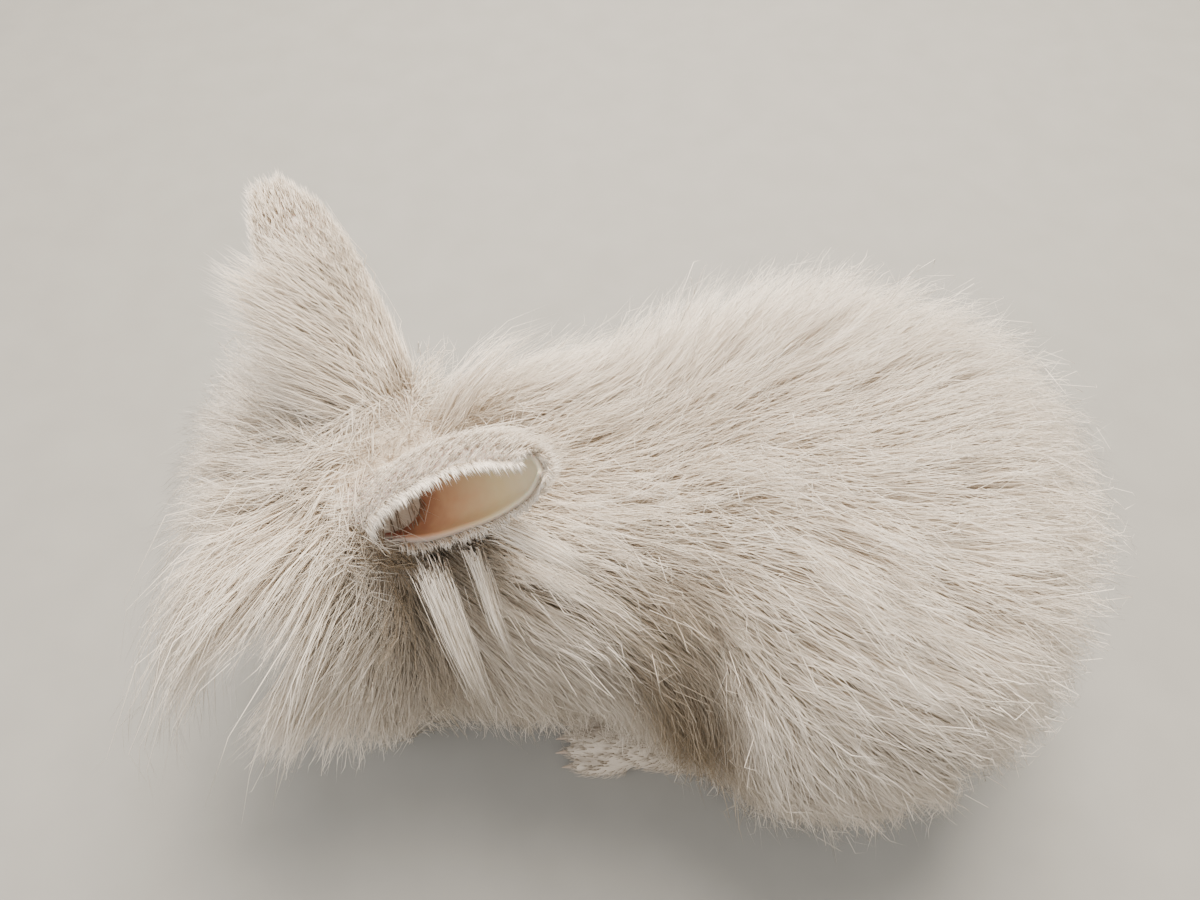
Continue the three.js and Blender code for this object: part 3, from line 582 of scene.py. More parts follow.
def short_fur_material(name):
    material, tree = new_material(name)
    place = add(tree, "ShaderNodeTexCoord")
    # Hairs lie about 0.4 mm apart and are drawn 0.7 mm apart so that they show
    streak = add(tree, "ShaderNodeMapping", {"Vector": place.outputs["Object"]}, Scale=(300, 900, 900))
    hairs = add(tree, "ShaderNodeTexNoise", {"Vector": streak.outputs[0]}, Scale=1.6, Detail=3)
    bump = add(tree, "ShaderNodeBump", {"Height": hairs.outputs[0]}, Strength=0.5, Distance=0.0006)
    pink = add(tree, "ShaderNodeAttribute", attribute_name="bare")
    under = {"Factor": pink.outputs["Fac"], 6: wool_colour(tree)}
    shown = add(tree, "ShaderNodeMix", under, data_type="RGBA", _7=linear(BARE_PINK))
    surface = add(
        tree,
        "ShaderNodeBsdfPrincipled",
        {"Base Color": shown.outputs[2], "Normal": bump.outputs[0]},
        Roughness=0.8,
        Specular_IOR_Level=0.3,
        Sheen_Weight=0.2,
    )
    add(tree, "ShaderNodeOutputMaterial", {"Surface": surface.outputs[0]})
    return material


fur = short_fur_material("short_face_fur")


# %% Where the wool is long, and how much painted shade each patch takes
def long_wool(p):
    """1 where the wool is long and 0 on the face and feet."""
    q = to_head(p)
    edge = FACE_EDGE + JAW_WOOL * smooth(0, -20, q[:, 2])
    on_body = 1 - smooth(1, 7, body_skin(p))
    return smooth(edge, edge - 20, q[:, 0]) * on_body


def painted_shade_and_patches(p):
    """Painted shade in the folds, on the near shoulder, behind the left ear, on the feet and low on
    the flanks, none on the back, crown and mane, and a little patchy tone of the coat's own.
    """
    # Every term but patchy is painted shade; patchy is the coat's own uneven tone.
    low = 0.3 * smooth(120, 30, p[:, 2]) * smooth(-100, -60, p[:, 0])
    in_fold = sum(np.exp(-((np.maximum(capsule(p, *fold), 0) / 11) ** 2)) for fold in FOLDS)
    shoulder = np.exp(-np.sum(((p - [-18, -70, 98]) / [26, 22, 40]) ** 2, -1))
    behind_ear = np.exp(-np.sum(((p - [-54, -36, 130]) / [18, 14, 18]) ** 2, -1))
    feet = 0.3 * smooth(6, 2, legs_skin(p)) * smooth(34, 22, p[:, 2])
    patchy = 0.06 * np.sin(p[:, 0] / 13 + np.sin(p[:, 1] / 9)) * np.sin(p[:, 2] / 11 + 1)
    dark = 0.04 + low + feet + 0.75 * in_fold + 0.35 * shoulder + 0.6 * behind_ear + patchy
    return np.clip(dark, 0, 1)


def bareness(p):
    """Pink skin shows at the nostrils, lips and the rims of the lids."""
    q = mirrored(to_head(p))
    by_nostril = np.exp(-np.sum(((q - nostril) / [5, 3.2, 3]) ** 2, -1))
    by_mouth = np.exp(-((np.minimum(line(q, mouth[:3], 0), line(q, cleft, 0)) / 1.7) ** 2))
    eye = q - np.array(EYE)
    rim = np.exp(-(((round_eye(q, LID_RIM) - 1) / 0.14) ** 2))
    rim = rim * (np.linalg.norm(eye, axis=-1) < 12) * (eye @ EYE_OUT > 0)
    return np.clip(0.9 * by_nostril + 0.6 * by_mouth + 0.8 * rim, 0, 1)


# %% The skin piece
def skin_coat_values(p):
    wooly = long_wool(p)
    # Under long wool the skin takes the root colour, which is partly painted shade beneath the coat.
    return np.column_stack([mix(0.85, 0.1, wooly), np.full(len(p), 0.6), painted_shade_and_patches(p)])


skin_piece = mesh_object("skin", SKIN_POINTS, SKIN_TRIANGLES, fur, skin_coat_values(SKIN_POINTS))
bare = skin_piece.data.attributes.new("bare", "FLOAT", "POINT")
bare.data.foreach_set("value", bareness(SKIN_POINTS).astype(np.float32))
FLESH = [
    "head", "neck", "torso", "tail", "haunch_left", "haunch_right", "foreleg_left",
    "foreleg_right", "forepaw_left", "forepaw_right", "hindpaw_left", "hindpaw_right",
]
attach(skin_piece, "root")
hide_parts(*FLESH)


# %% [markdown]
# Each ear is a thin shell rolled round a cup: closed to a tube at its root, open like a spoon
# above, with a rounded tip. It is lofted from rings whose radius and spread follow two short
# lists, and both faces follow one formula so that the wall keeps its thickness.

# %% Ears as rings of points
EARS = {
    "left": (on_head(-19, 17, 20), np.array([-28, -36, 184.0]), np.array([-0.35, -0.9, -0.35])),
    "right": (on_head(-19, -17, 20), np.array([-105, 54, 184.0]), np.array([-0.75, 0.5, 0])),
}
EAR_LENGTH = 76
EAR_WALL = 2.0
EAR_RADIUS = [10, 10.5, 12.5, 14.5, 15.4, 14.8, 12, 5]
EAR_SPREAD = [158, 150, 126, 108, 98, 90, 84, 76]
EAR_SUNK = -0.14  # the root starts below the skin, as a share of the length
EAR_ROWS = 48
EAR_COLUMNS = 30


def curve_through(heights, t):
    """A smooth curve through evenly spaced heights."""
    h = np.array([2 * heights[0] - heights[1], *heights, 2 * heights[-1] - heights[-2]], float)
    x = np.clip(t, 0, 0.99999) * (len(heights) - 1)
    i = x.astype(int)
    s = x - i
    a, b, c, d = h[i], h[i + 1], h[i + 2], h[i + 3]
    square = 2 * a - 5 * b + 4 * c - d
    cube = 3 * b - a - 3 * c + d
    return 0.5 * (2 * b + (c - a) * s + square * s**2 + cube * s**3)


def ear_directions(ear):
    base, tip, opening = EARS[ear]
    axis = unit(tip - base)
    out = across(opening, axis)
    return base, axis, out, np.cross(axis, out)


def ear_point(ear, t, turn, inset):
    """Points of the ear at t from root to tip, turned from the middle of its back."""
    base, axis, out, side = ear_directions(ear)
    t, turn, inset = np.broadcast_arrays(t, turn, inset)
    bulge = 3.5 * np.sin(np.pi * np.maximum(0, t)) - 3
    rim_roll = 1 - 0.12 * smooth(0.75, 1, np.abs(turn)) * smooth(0.2, 0.5, t)
    radius = (curve_through(EAR_RADIUS, t) - inset) * rim_roll
    angle = turn * np.radians(curve_through(EAR_SPREAD, t))
    return (
        base
        + (t * EAR_LENGTH)[..., None] * axis
        + (bulge - np.cos(angle) * radius)[..., None] * out
        + (np.sin(angle) * radius)[..., None] * side
    )


def ear_shell(ear):
    rows = np.linspace(EAR_SUNK, 1, EAR_ROWS)[:, None]
    turns = np.linspace(-1, 1, EAR_COLUMNS)[None, :]
    outer = ear_point(ear, rows, turns, 0.0)
    inner = ear_point(ear, rows, turns, EAR_WALL)
    rings = np.concatenate([outer, inner[:, ::-1]], 1)
    n = EAR_COLUMNS * 2
    r, i = np.meshgrid(np.arange(EAR_ROWS - 1), np.arange(n), indexing="ij")
    a = (r * n + i).ravel()
    b = (r * n + (i + 1) % n).ravel()
    triangles = [np.column_stack([a, b, b + n]), np.column_stack([a, b + n, a + n])]
    c = np.arange(EAR_COLUMNS - 1)
    d = n - 1 - c
    triangles += [np.column_stack([c, d - 1, c + 1]), np.column_stack([c, d, d - 1])]
    c, d = c + (EAR_ROWS - 1) * n, d + (EAR_ROWS - 1) * n
    triangles += [np.column_stack([c, c + 1, d - 1]), np.column_stack([c, d - 1, d])]
    return rings.reshape(-1, 3), np.vstack(triangles)


# %% Bare ear skin: thin and blood-warm, tan and then cream above, and darker deep in the cup
# The dark red-brown low in the cup is partly the warmer skin, partly painted shade inside the ear's root.
EAR_CUP = [(0.08, "#6E3A2E"), (0.3, "#9A604A"), (0.5, "#C69A74"), (0.75, "#CFBA90"), (1, "#D6CCB0")]
EAR_BACK = "#C7B8AC"


def ear_skin_material(name):
    material, tree = new_material(name)
    where = add(tree, "ShaderNodeAttribute", attribute_name="coat")
    parts = add(tree, "ShaderNodeSeparateColor", {0: where.outputs["Color"]})
    place = add(tree, "ShaderNodeTexCoord")
    # Veins branch about every 4 mm
    veins = add(tree, "ShaderNodeTexNoise", {"Vector": place.outputs["Object"]}, Scale=220, Detail=5)
    height = {0: veins.outputs[0], 2: parts.outputs[0]}
    moved = add(tree, "ShaderNodeMath", height, operation="MULTIPLY_ADD", _1=0.16)
    cup = add(tree, "ShaderNodeValToRGB", {"Fac": moved.outputs[0]}, stops=EAR_CUP)
    faces = {"Factor": parts.outputs[2], 6: cup.outputs[0]}
    shown = add(tree, "ShaderNodeMix", faces, data_type="RGBA", _7=linear(EAR_BACK))
    bump = add(tree, "ShaderNodeBump", {"Height": veins.outputs[0]}, Strength=0.35, Distance=0.0005)
    surface = add(
        tree,
        "ShaderNodeBsdfPrincipled",
        {"Base Color": shown.outputs[2], "Normal": bump.outputs[0]},
        Roughness=0.55,
        Specular_IOR_Level=0.4,
        Subsurface_Weight=0.15,
        Subsurface_Scale=0.004,
    )
    add(tree, "ShaderNodeOutputMaterial", {"Surface": surface.outputs[0]})
    return material


ear_skin = ear_skin_material("bare_ear_skin")
for ear in EARS:
    points, triangles = ear_shell(ear)
    rows = np.repeat(np.linspace(0, 1, EAR_ROWS), EAR_COLUMNS * 2)
    is_back = np.tile(np.repeat([1.0, 0.0], EAR_COLUMNS), EAR_ROWS)
    shell = mesh_object(f"ear_shell_{ear}", points, triangles, ear_skin,
                        np.column_stack([rows, rows, is_back]))
    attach(shell, "root")
    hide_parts(f"ear_{ear}")
    print("ear", ear, len(triangles), "triangles")


# %% [markdown]
# A rabbit's eye is large, round and nearly black-brown, and it bulges well out between its
# lids. The globe is a plain ball with a slightly steeper dome of cornea over the iris.

# %% Eyes: a wet, clear cornea, so one small sharp highlight over the dark
EYE_COLOURS = [(0.0, "#040303"), (0.3, "#060404"), (0.34, "#2A1810"), (0.5, "#3A2417"), (0.6, "#120B09")]
CORNEA_RISE = 0.35


def eye_material(name):
    material, tree = new_material(name)
    where = add(tree, "ShaderNodeAttribute", attribute_name="coat")
    parts = add(tree, "ShaderNodeSeparateColor", {0: where.outputs["Color"]})
    colour = add(tree, "ShaderNodeValToRGB", {"Fac": parts.outputs[0]}, stops=EYE_COLOURS)
    surface = add(
        tree,
        "ShaderNodeBsdfPrincipled",
        {"Base Color": colour.outputs[0]},
        Roughness=0.12,
        Coat_Weight=1.0,
        Coat_Roughness=0.02,
    )
    add(tree, "ShaderNodeOutputMaterial", {"Surface": surface.outputs[0]})
    return material


def globe(centre, out, rows=40, columns=48):
    """A ball whose front half bulges a little, with its poles along the line of sight."""
    angle = np.linspace(0, np.pi, rows + 1)[1:-1]
    turn = np.linspace(0, 2 * np.pi, columns, endpoint=False)
    first = unit(np.cross(out, [0, 0, 1.0]))
    second = np.cross(out, first)
    radius = EYE_RADIUS - CORNEA_RISE + CORNEA_RISE * smooth(0.75, 0.3, angle)
    ring = np.cos(turn)[:, None] * first + np.sin(turn)[:, None] * second
    body = centre + radius[:, None, None] * (
        np.cos(angle)[:, None, None] * out + np.sin(angle)[:, None, None] * ring
    )
    poles = [centre + out * EYE_RADIUS, centre - out * (EYE_RADIUS - CORNEA_RISE)]
    points = np.vstack([body.reshape(-1, 3), *poles])
    r, i = np.meshgrid(np.arange(rows - 2), np.arange(columns), indexing="ij")
    a = (r * columns + i).ravel()
    b = (r * columns + (i + 1) % columns).ravel()
    top = np.arange(columns)
    after = (top + 1) % columns
    last = (rows - 2) * columns
    front, back = len(points) - 2, len(points) - 1
    triangles = np.vstack([
        np.column_stack([a, a + columns, b + columns]), np.column_stack([a, b + columns, b]),
        np.column_stack([top * 0 + front, top, after]),
        np.column_stack([top * 0 + back, last + after, last + top]),
    ])
    depth = np.concatenate([np.repeat(angle / 1.4, columns), [0, 1]])
    return points, triangles, np.column_stack([depth, depth, depth])


def turned_out(points, triangles):
    """The triangles turned to face outwards."""
    a, b, c = (points[triangles[:, n]] for n in range(3))
    volume = np.sum(a * np.cross(b, c))
    return triangles if volume > 0 else triangles[:, ::-1]


cornea = eye_material("wet_eye")
for word, side in (("left", 1), ("right", -1)):
    centre = on_head(EYE[0], side * EYE[1], EYE[2])
    out = (EYE_OUT * [1, side, 1]) @ HEAD_AXES
    points, triangles, depth = globe(centre, unit(out))
    eye = mesh_object(f"eyeball_{word}", points, turned_out(points - centre, triangles), cornea, depth)
    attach(eye, "root")
    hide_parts(f"eye_{word}")


# %% [markdown]
# The coat is combed, not scattered. Roots are spread over the skin, and from each a path runs
# along the lie of the wool and rises just fast enough to end at the outline of the coat. To
# save time only some paths, the guides, are combed so. Each strand has a root of its own and
# takes a path between its nearest guides, and neighbours are drawn towards a shared lock, as
# wool does. A strand is a flat three-sided taper that closes to a point, with few faces,
# because there are tens of thousands of them.

# %% Spread roots over the skin
rng = np.random.default_rng(7)


def scatter(points, triangles, density, rng):
    """Random points on triangles with their normals, at a density in roots for each mm2."""
    a, b, c = (points[triangles[:, n]] for n in range(3))
    normal = np.cross(b - a, c - a)
    area = np.linalg.norm(normal, axis=-1) / 2
    weight = area * density((a + b + c) / 3, unit(normal))
    count = int(round(weight.sum()))
    pick = rng.choice(len(triangles), size=count, p=weight / weight.sum())
    u = np.sqrt(rng.random(count))[:, None]
    v = rng.random(count)[:, None]
    return a[pick] * (1 - u) + b[pick] * u * (1 - v) + c[pick] * u * v, unit(normal[pick])


# %% The lie of the wool
def wool_lie(p):
    """Back along the spine, down on flanks and rump, and away from the crown on the head."""
    round_side = np.degrees(np.arctan2(np.abs(p[:, 1]), p[:, 2] - 70))
    down = np.maximum(smooth(20, 85, round_side), 0.8 * smooth(80, 150, p[:, 0]))
    back = mix(1, mix(0.25, 0.75, smooth(-60, 60, p[:, 0])), down)
    spread = 0.006 * p[:, 1] * (1 - down)
    body = unit(np.column_stack([back, spread, -0.9 * down - 0.03]))
    crown = unit((p - CROWN) * CROWN_SPREAD)
    return unit(mix(body, crown, smooth(-30, -80, p[:, 0])[:, None]))


def turned(v, axis, angle):
    """Directions turned about unit axes that they are square to."""
    return v * np.cos(angle)[:, None] + np.cross(axis, v) * np.sin(angle)[:, None]


def reach_out(p, out):
    """How far it is from each point, along its direction, to the tips of the coat."""
    far = np.zeros(len(p))
    still = coat_tips(p) < 0
    for step in np.arange(5, 95, 5.0):
        depth = -coat_tips(p + out * step)
        still = still & (depth > 0)
        far = np.where(still, step + np.minimum(depth, 5), far)
    return far


DOWN = np.array([0, 0, -1.0])


def combed(roots, length, yaw, inset, steps=6):
    """Paths from the skin to the coat's outline, along the lie of the wool."""
    path = [roots]
    p = roots.copy()
    for i in range(steps):
        left = length * (1 - i / steps)
        out = unit(slope_of(body_skin, p))
        rise = (reach_out(p, out) - inset) / left * mix(1.25, 1, i / steps)
        rise = np.clip(rise, 0.03, 0.9)[:, None]
        swirl = 0.2 * np.sin(p[:, 0] / 15 + np.sin(p[:, 2] / 21) * 2 + p[:, 1] / 30)
        along = turned(across(wool_lie(p), out), out, yaw + swirl)
        hang = smooth(75, 35, p[:, 2]) * smooth(0.2, 0.6, np.abs(out[:, 1]))
        along = unit(mix(along, DOWN, 0.75 * hang[:, None]))
        p = p + (length / steps)[:, None] * (along * np.sqrt(1 - rise**2) + out * rise)
        p[:, 2] = np.maximum(p[:, 2], 2.5)
        path.append(p)
    return np.stack(path, 1)


# %% Keep hair out of the ears and off the eyes
def clear_of_ears(path):
    """Pushes points that lie in an ear out to its surface."""
    shape = path.shape
    p = path.reshape(-1, 3)
    for ear in EARS:
        base, axis, out, side = ear_directions(ear)
        d = p - base - out * 0.5
        t = d @ axis / EAR_LENGTH
        away = d - (t * EAR_LENGTH)[:, None] * axis
        reach = np.linalg.norm(away, axis=-1)
        radius = curve_through(EAR_RADIUS, np.clip(t, 0, 1)) + 1.2
        inside = (reach < radius) & (t > 0.06) & (t < 1)
        push = np.where(inside, radius / np.maximum(reach, 1e-3), 1)
        p = p + away * (push - 1)[:, None]
    return p.reshape(shape)


def before_eye(p):
    """Whether points lie in front of an eye."""
    q = mirrored(to_head(p.reshape(-1, 3))) - np.array(EYE)
    out = q @ EYE_OUT
    aside = np.linalg.norm(q - out[:, None] * EYE_OUT, axis=-1)
    return ((out > -2) & (out < 60) & (aside < 10)).reshape(p.shape[:-1])


def along_path(path, place):
    """Points of each path at its own shares of its length."""
    last = path.shape[1] - 1
    place = np.clip(np.asarray(place) * last, 0, last)
    low = np.minimum(place.astype(int), last - 1)
    t = (place - low)[..., None]
    row = np.arange(len(path))[:, None]
    return path[row, low] * (1 - t) + path[row, low + 1] * t


def trimmed(path):
    """Ends each path before it hangs over an eye, and tells which are long enough to keep."""
    fine = np.linspace(0, 1, 16)
    over = before_eye(along_path(path, np.tile(fine, (len(path), 1))))
    end = np.where(over.any(1), fine[np.maximum(over.argmax(1) - 1, 0)], 1.0)
    shares = end[:, None] * np.linspace(0, 1, path.shape[1])
    return along_path(path, shares), end > 0.12


# %% Strands: flat three-sided tapers along paths
TAPER = np.array([0.9, 1.0, 0.55])


def strand_arrays(path, width, out, taper):
    """Points and triangles of strands, and how far along the strand each point is."""
    count, stations, _ = path.shape
    rings = stations - 1
    ahead = np.gradient(path, axis=1)
    side = unit(np.cross(ahead, out[:, None, :]))
    up = unit(np.cross(side, ahead))
    half = width[:, None, None] * taper[None, :, None] / 2
    body, side, up = path[:, :rings], side[:, :rings], up[:, :rings]
    ring = np.stack([body - side * half - up * half * 0.3,
                     body + side * half - up * half * 0.3,
                     body + up * half * 0.6], 2)
    points = np.concatenate([ring.reshape(count, rings * 3, 3), path[:, -1:]], 1)
    shape = [[0, 1, 2]]
    for r in range(rings - 1):
        for i in range(3):
            a, b = r * 3 + i, r * 3 + (i + 1) % 3
            shape += [[a, b + 3, b], [a, a + 3, b + 3]]
    last = (rings - 1) * 3
    shape += [[last + i, rings * 3, last + (i + 1) % 3] for i in range(3)]
    size = rings * 3 + 1
    triangles = np.array(shape)[None] + (np.arange(count) * size)[:, None, None]
    along = np.append(np.repeat(np.linspace(0, 1, stations)[:-1], 3), 1.0)
    aside = np.append(np.tile([0.0, 1.0, 0.5], rings), 0.5)
    return points.reshape(-1, 3), triangles.reshape(-1, 3), along, aside, size


# %% [markdown]
# Each strand has a patch of its own in the OFBake map, three thousandths of the map across,
# at its root's place on an unwrap of the body. The unwrap goes round the body's long axis and
# along it, and a piece uses the whole map for the stretch of the body that it covers.

# %% Where a root lies on the unwrapped skin
PATCH = 0.003
BODY_MIDDLE = 5
BODY_HALF = 165
AXIS_HEIGHT = 78


def unwrapped(roots):
    along = 0.5 + np.arcsin(np.clip((roots[:, 0] - BODY_MIDDLE) / BODY_HALF, -1, 1)) / np.pi
    around = 0.5 + np.arctan2(roots[:, 1], roots[:, 2] - AXIS_HEIGHT) / (2 * np.pi)
    return np.column_stack([along, around])


def spread_out(uv):
    """The same places, scaled to fill the map."""
    low, high = uv.min(0), uv.max(0)
    return (uv - low) / np.maximum(high - low, 1e-6) * (1 - 3 * PATCH) + PATCH


def coat_piece(name, path, width, out, light, shade_and_grey, slot, along_from, taper=TAPER, uv=None):
    """One piece of coat from paths, with the attribute and map that its colours need."""
    points, triangles, along, aside, size = strand_arrays(path, width, out, taper)
    count = len(path)
    coat = np.column_stack([
        np.broadcast_to(mix(np.reshape(along_from, (-1, 1)), 1, along), (count, size)).ravel(),
        np.repeat(light, size), np.repeat(shade_and_grey, size),
    ])
    root = spread_out(unwrapped(path[:, 0]) if uv is None else uv)
    local = np.column_stack([aside, along]) * PATCH
    at_point = (root[:, None] + local[None]).reshape(-1, 2)
    patch = at_point[triangles.ravel()]
    made = mesh_object(name, points, triangles, wool, coat, patch)
    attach(made, "root")
    print(name, count, "strands,", len(triangles), "triangles")


# %% Comb the guides
LOCK_ROOTS = 0.028  # locks for each mm2 of skin
GUIDE_ROOTS = 0.075
WOOL_ROOTS = 0.46
BODY_WOOL = 62
MANE_WOOL = 80
CROWN_WOOL = 40
TAIL_WOOL = 26


def wool_density(rate):
    def density(p, normal):
        belly = 1 - 0.5 * smooth(-0.5, -0.95, normal[:, 2]) * smooth(-60, -40, p[:, 0])
        head = mix(1, 2, smooth(-50, -80, p[:, 0]))
        return rate * smooth(0.03, 0.2, long_wool(p)) * belly * head

    return density


def wool_length(p):
    """The full length of the wool at a root, and how near the root is to the crown."""
    by_crown = np.exp(-np.sum(((p - CROWN) / [14, 16, 30]) ** 2, 1))
    on_tail = smooth(8, 0, ellipsoid(p, *TAIL_BONE)) * (p[:, 0] > 134)
    full = mix(BODY_WOOL, MANE_WOOL, smooth(-55, -85, p[:, 0]))
    full = full * mix(1.3, 1, smooth(35, 70, p[:, 2]))
    full = mix(full, CROWN_WOOL, by_crown)
    full = mix(full, TAIL_WOOL, on_tail)
    return mix(18, full, long_wool(p) ** 0.7), by_crown


def guides(rate, rng):
    roots, normal = scatter(SKIN_POINTS, SKIN_TRIANGLES, wool_density(rate), rng)
    count = len(roots)
    full, by_crown = wool_length(roots)
    length = np.maximum(full * rng.uniform(0.85, 1.15, count), reach_out(roots, normal) * 1.1)
    yaw = rng.normal(0, 1, count) * mix(0.15, 1.3, by_crown)
    inset = 1 + 6 * rng.random(count) ** 2
    return combed(roots, length, yaw, inset)


lock_path = guides(LOCK_ROOTS, rng)
guide_path = guides(GUIDE_ROOTS, rng)
print(len(lock_path), "locks,", len(guide_path), "guides")


# %% Give every strand a path between its nearest guides, and draw it to its lock
def nearest(points, others, count):
    """The indexes of the nearest few of the others to each point."""
    tree = KDTree(len(others))
    for i, p in enumerate(others):
        tree.insert(p, i)
    tree.balance()
    return np.array([[found[1] for found in tree.find_n(p, count)] for p in points])


wool_roots, _ = scatter(SKIN_POINTS, SKIN_TRIANGLES, wool_density(WOOL_ROOTS), rng)
near_guides = nearest(wool_roots, guide_path[:, 0], 3)
at_crown = wool_length(wool_roots)[1]
shares = rng.dirichlet([1.5, 1.5, 1.5], len(wool_roots)) ** (1 + 5 * at_crown[:, None])
shares = shares / shares.sum(1, keepdims=True)
wool_path = wool_roots[:, None] + sum(
    shares[:, k, None, None] * (guide_path[near_guides[:, k]] - guide_path[near_guides[:, k], :1])
    for k in range(3)
)
lock_of = nearest(wool_roots, lock_path[:, 0], 1)[:, 0]
along_share = np.linspace(0, 1, wool_path.shape[1])
hangs_low = smooth(95, 55, lock_path[:, 3, 2])
in_mane = smooth(-50, -80, lock_path[:, 0, 0])
lock_pull = rng.uniform(0, 0.5, len(lock_path)) + 0.3 * np.maximum(hangs_low, in_mane)
lock_pull = lock_pull[lock_of] * (1 - at_crown)
pull = lock_pull[:, None] * smooth(0.1, 1, along_share)[None]
lock_end = rng.uniform(0.88, 1.06, len(lock_path))
lock_end = lock_end + 0.1 * hangs_low * rng.uniform(-1, 1, len(lock_path))
wool_path = wool_path + (lock_path[lock_of] - wool_path) * pull[..., None]
uneven = lock_end[lock_of, None] * along_share[None]
beyond = np.maximum(uneven - 1, 0)[..., None] * (wool_path[:, -1:] - wool_path[:, -2:-1]) * 6
wool_path = along_path(wool_path, uneven) + beyond
wool_path, kept = trimmed(clear_of_ears(wool_path))
wool_path, lock_of = wool_path[kept], lock_of[kept]
print(len(wool_path), "strands of wool")


# %% Frizz, and loose hairs that stand away
STATIONS = [0, 0.33, 0.68, 1]
OFF_FLOOR = 0.6  # the least height of a hair's middle line
LOOSE = 0.25  # share of hairs that stand away from their tuft
FRIZZ = 1.0
WAVE = 1.3
STRAND_WIDTH = 0.33
FRINGE_HANG = 12  # how far the lowest wool may hang outside the coat's rounded outline
BANGS_BEND = -116  # where the hair over the face starts to bend down
BANGS_DROOP = 0.011
HIDDEN_ROOTS = 0.65  # share of hairs drawn only from where the deeper wool stops hiding them


def within_coat(path, beyond):
    """Draws in points far out of the coat's outline, and bends the hair over the face down."""
    p = path.reshape(-1, 3).copy()
    past = coat_tips(p) - beyond - FRINGE_HANG * smooth(45, 10, p[:, 2])
    far = (past > 0) & (to_head(p)[:, 0] < 30)
    p[far] -= unit(slope_of(coat_tips, p[far])) * past[far, None]
    over_face = np.maximum(BANGS_BEND - p[:, 0], 0) * smooth(85, 100, p[:, 2])
    p[:, 2] -= BANGS_DROOP * over_face**2
    return p.reshape(path.shape)


def frizzed(path, rng):
    """Strands with a slight wave, uneven tips and a few loose hairs."""
    count = len(path)
    first = np.where(rng.random(count) < HIDDEN_ROOTS, rng.uniform(0.12, 0.35, count), 0)[:, None]
    line_of = along_path(path, first + (1 - first) * np.array(STATIONS))
    ahead = unit(line_of[:, 2] - line_of[:, 0])
    out = unit(slope_of(body_skin, line_of[:, 2]))
    side = unit(np.cross(ahead, out))
    phase = line_of[:, 0] @ np.array([0.21, 0.27, 0.24]) + rng.normal(0, 0.8, count)
    turn = phase[:, None] + np.array([0, 2.2, 4.4, 6.6])[None]
    wave = WAVE * np.array([0, 0.8, 1, 1.3])[None] * np.sin(turn)
    calm = mix(1, 0.5, smooth(-40, -75, path[:, 0, 0]))
    loose = rng.random(count) < LOOSE * calm
    wander = rng.normal(0, FRIZZ, (count, 4, 3)) * np.array([0, 0.6, 1.1, 1.6])[None, :, None]
    wander = wander * calm[:, None, None]
    wander = wander * np.where(loose, 2.4, 1)[:, None, None]
    line_of = line_of + wave[..., None] * side[:, None] + wander
    end = np.where(loose, rng.uniform(0.95, 1.3, count), rng.uniform(0.7, 1.1, count))
    line_of[:, 3] = mix(line_of[:, 2], line_of[:, 3], end[:, None])
    line_of = within_coat(line_of, 4)
    line_of[:, :, 2] = np.maximum(line_of[:, :, 2], OFF_FLOOR)
    width = STRAND_WIDTH * rng.uniform(0.75, 1.25, count) * np.where(loose, 0.6, 1)
    return line_of, out, width, first[:, 0]


strand_path, strand_out, strand_width, strand_from = frizzed(wool_path, rng)
strand_light = 0.5 + rng.normal(0, 0.09, len(lock_path))[lock_of]
strand_light = np.clip(strand_light + rng.normal(0, 0.12, len(strand_path)), 0, 1)
# Painted shade for each strand, from where its middle lies, with a little random grey tone.
strand_shade_and_grey = painted_shade_and_patches(strand_path[:, 2]) + rng.normal(0, 0.05, len(strand_path))
strand_shade_and_grey = np.clip(strand_shade_and_grey, 0, 1)

# %% Share hairs out among pieces by where they grow
ZONE_ENDS = [-92, -62, -20, 25, 62, 95]
SLOT_OF_ZONE = ["head", "head", "neck", "torso", "torso", "torso", "torso"]
MOST_STRANDS = 12000


def share_out(word, path, width, out, light, shade_and_grey, root, along_from, taper):
    """Pieces of coat for zones along the body, left and right, none of them too heavy."""
    angle_round = np.degrees(np.arctan2(root[:, 1], root[:, 2] - AXIS_HEIGHT))
    zone = np.digitize(root[:, 0], ZONE_ENDS)
    piece_of = zone * 2 + (angle_round > 0)
    for number in np.unique(piece_of):
        mine = np.flatnonzero(piece_of == number)
        parts = int(np.ceil(len(mine) / MOST_STRANDS))
        for part, chosen in enumerate(np.array_split(mine, parts)):
            side_word = "right" if number % 2 else "left"
            coat_piece(
                f"{word}_{number // 2}_{side_word}_{part}",
                *(values[chosen] for values in (path, width, out, light, shade_and_grey)),
                SLOT_OF_ZONE[number // 2],
                along_from=along_from[chosen],
                taper=taper,
                uv=unwrapped(root[chosen]),
            )


strand_root = wool_path[:, 0]
share_out(
    "wool", strand_path, strand_width, strand_out, strand_light, strand_shade_and_grey, strand_root, strand_from,
    TAPER,
)


# %% [markdown]
# Between its long hairs an angora has far more down: finer, crimped hairs that stand every
# way and make the coat look like a cloud. A down hair is drawn only where it shows, from
# part way along a long hair to a little past the outline of the coat.

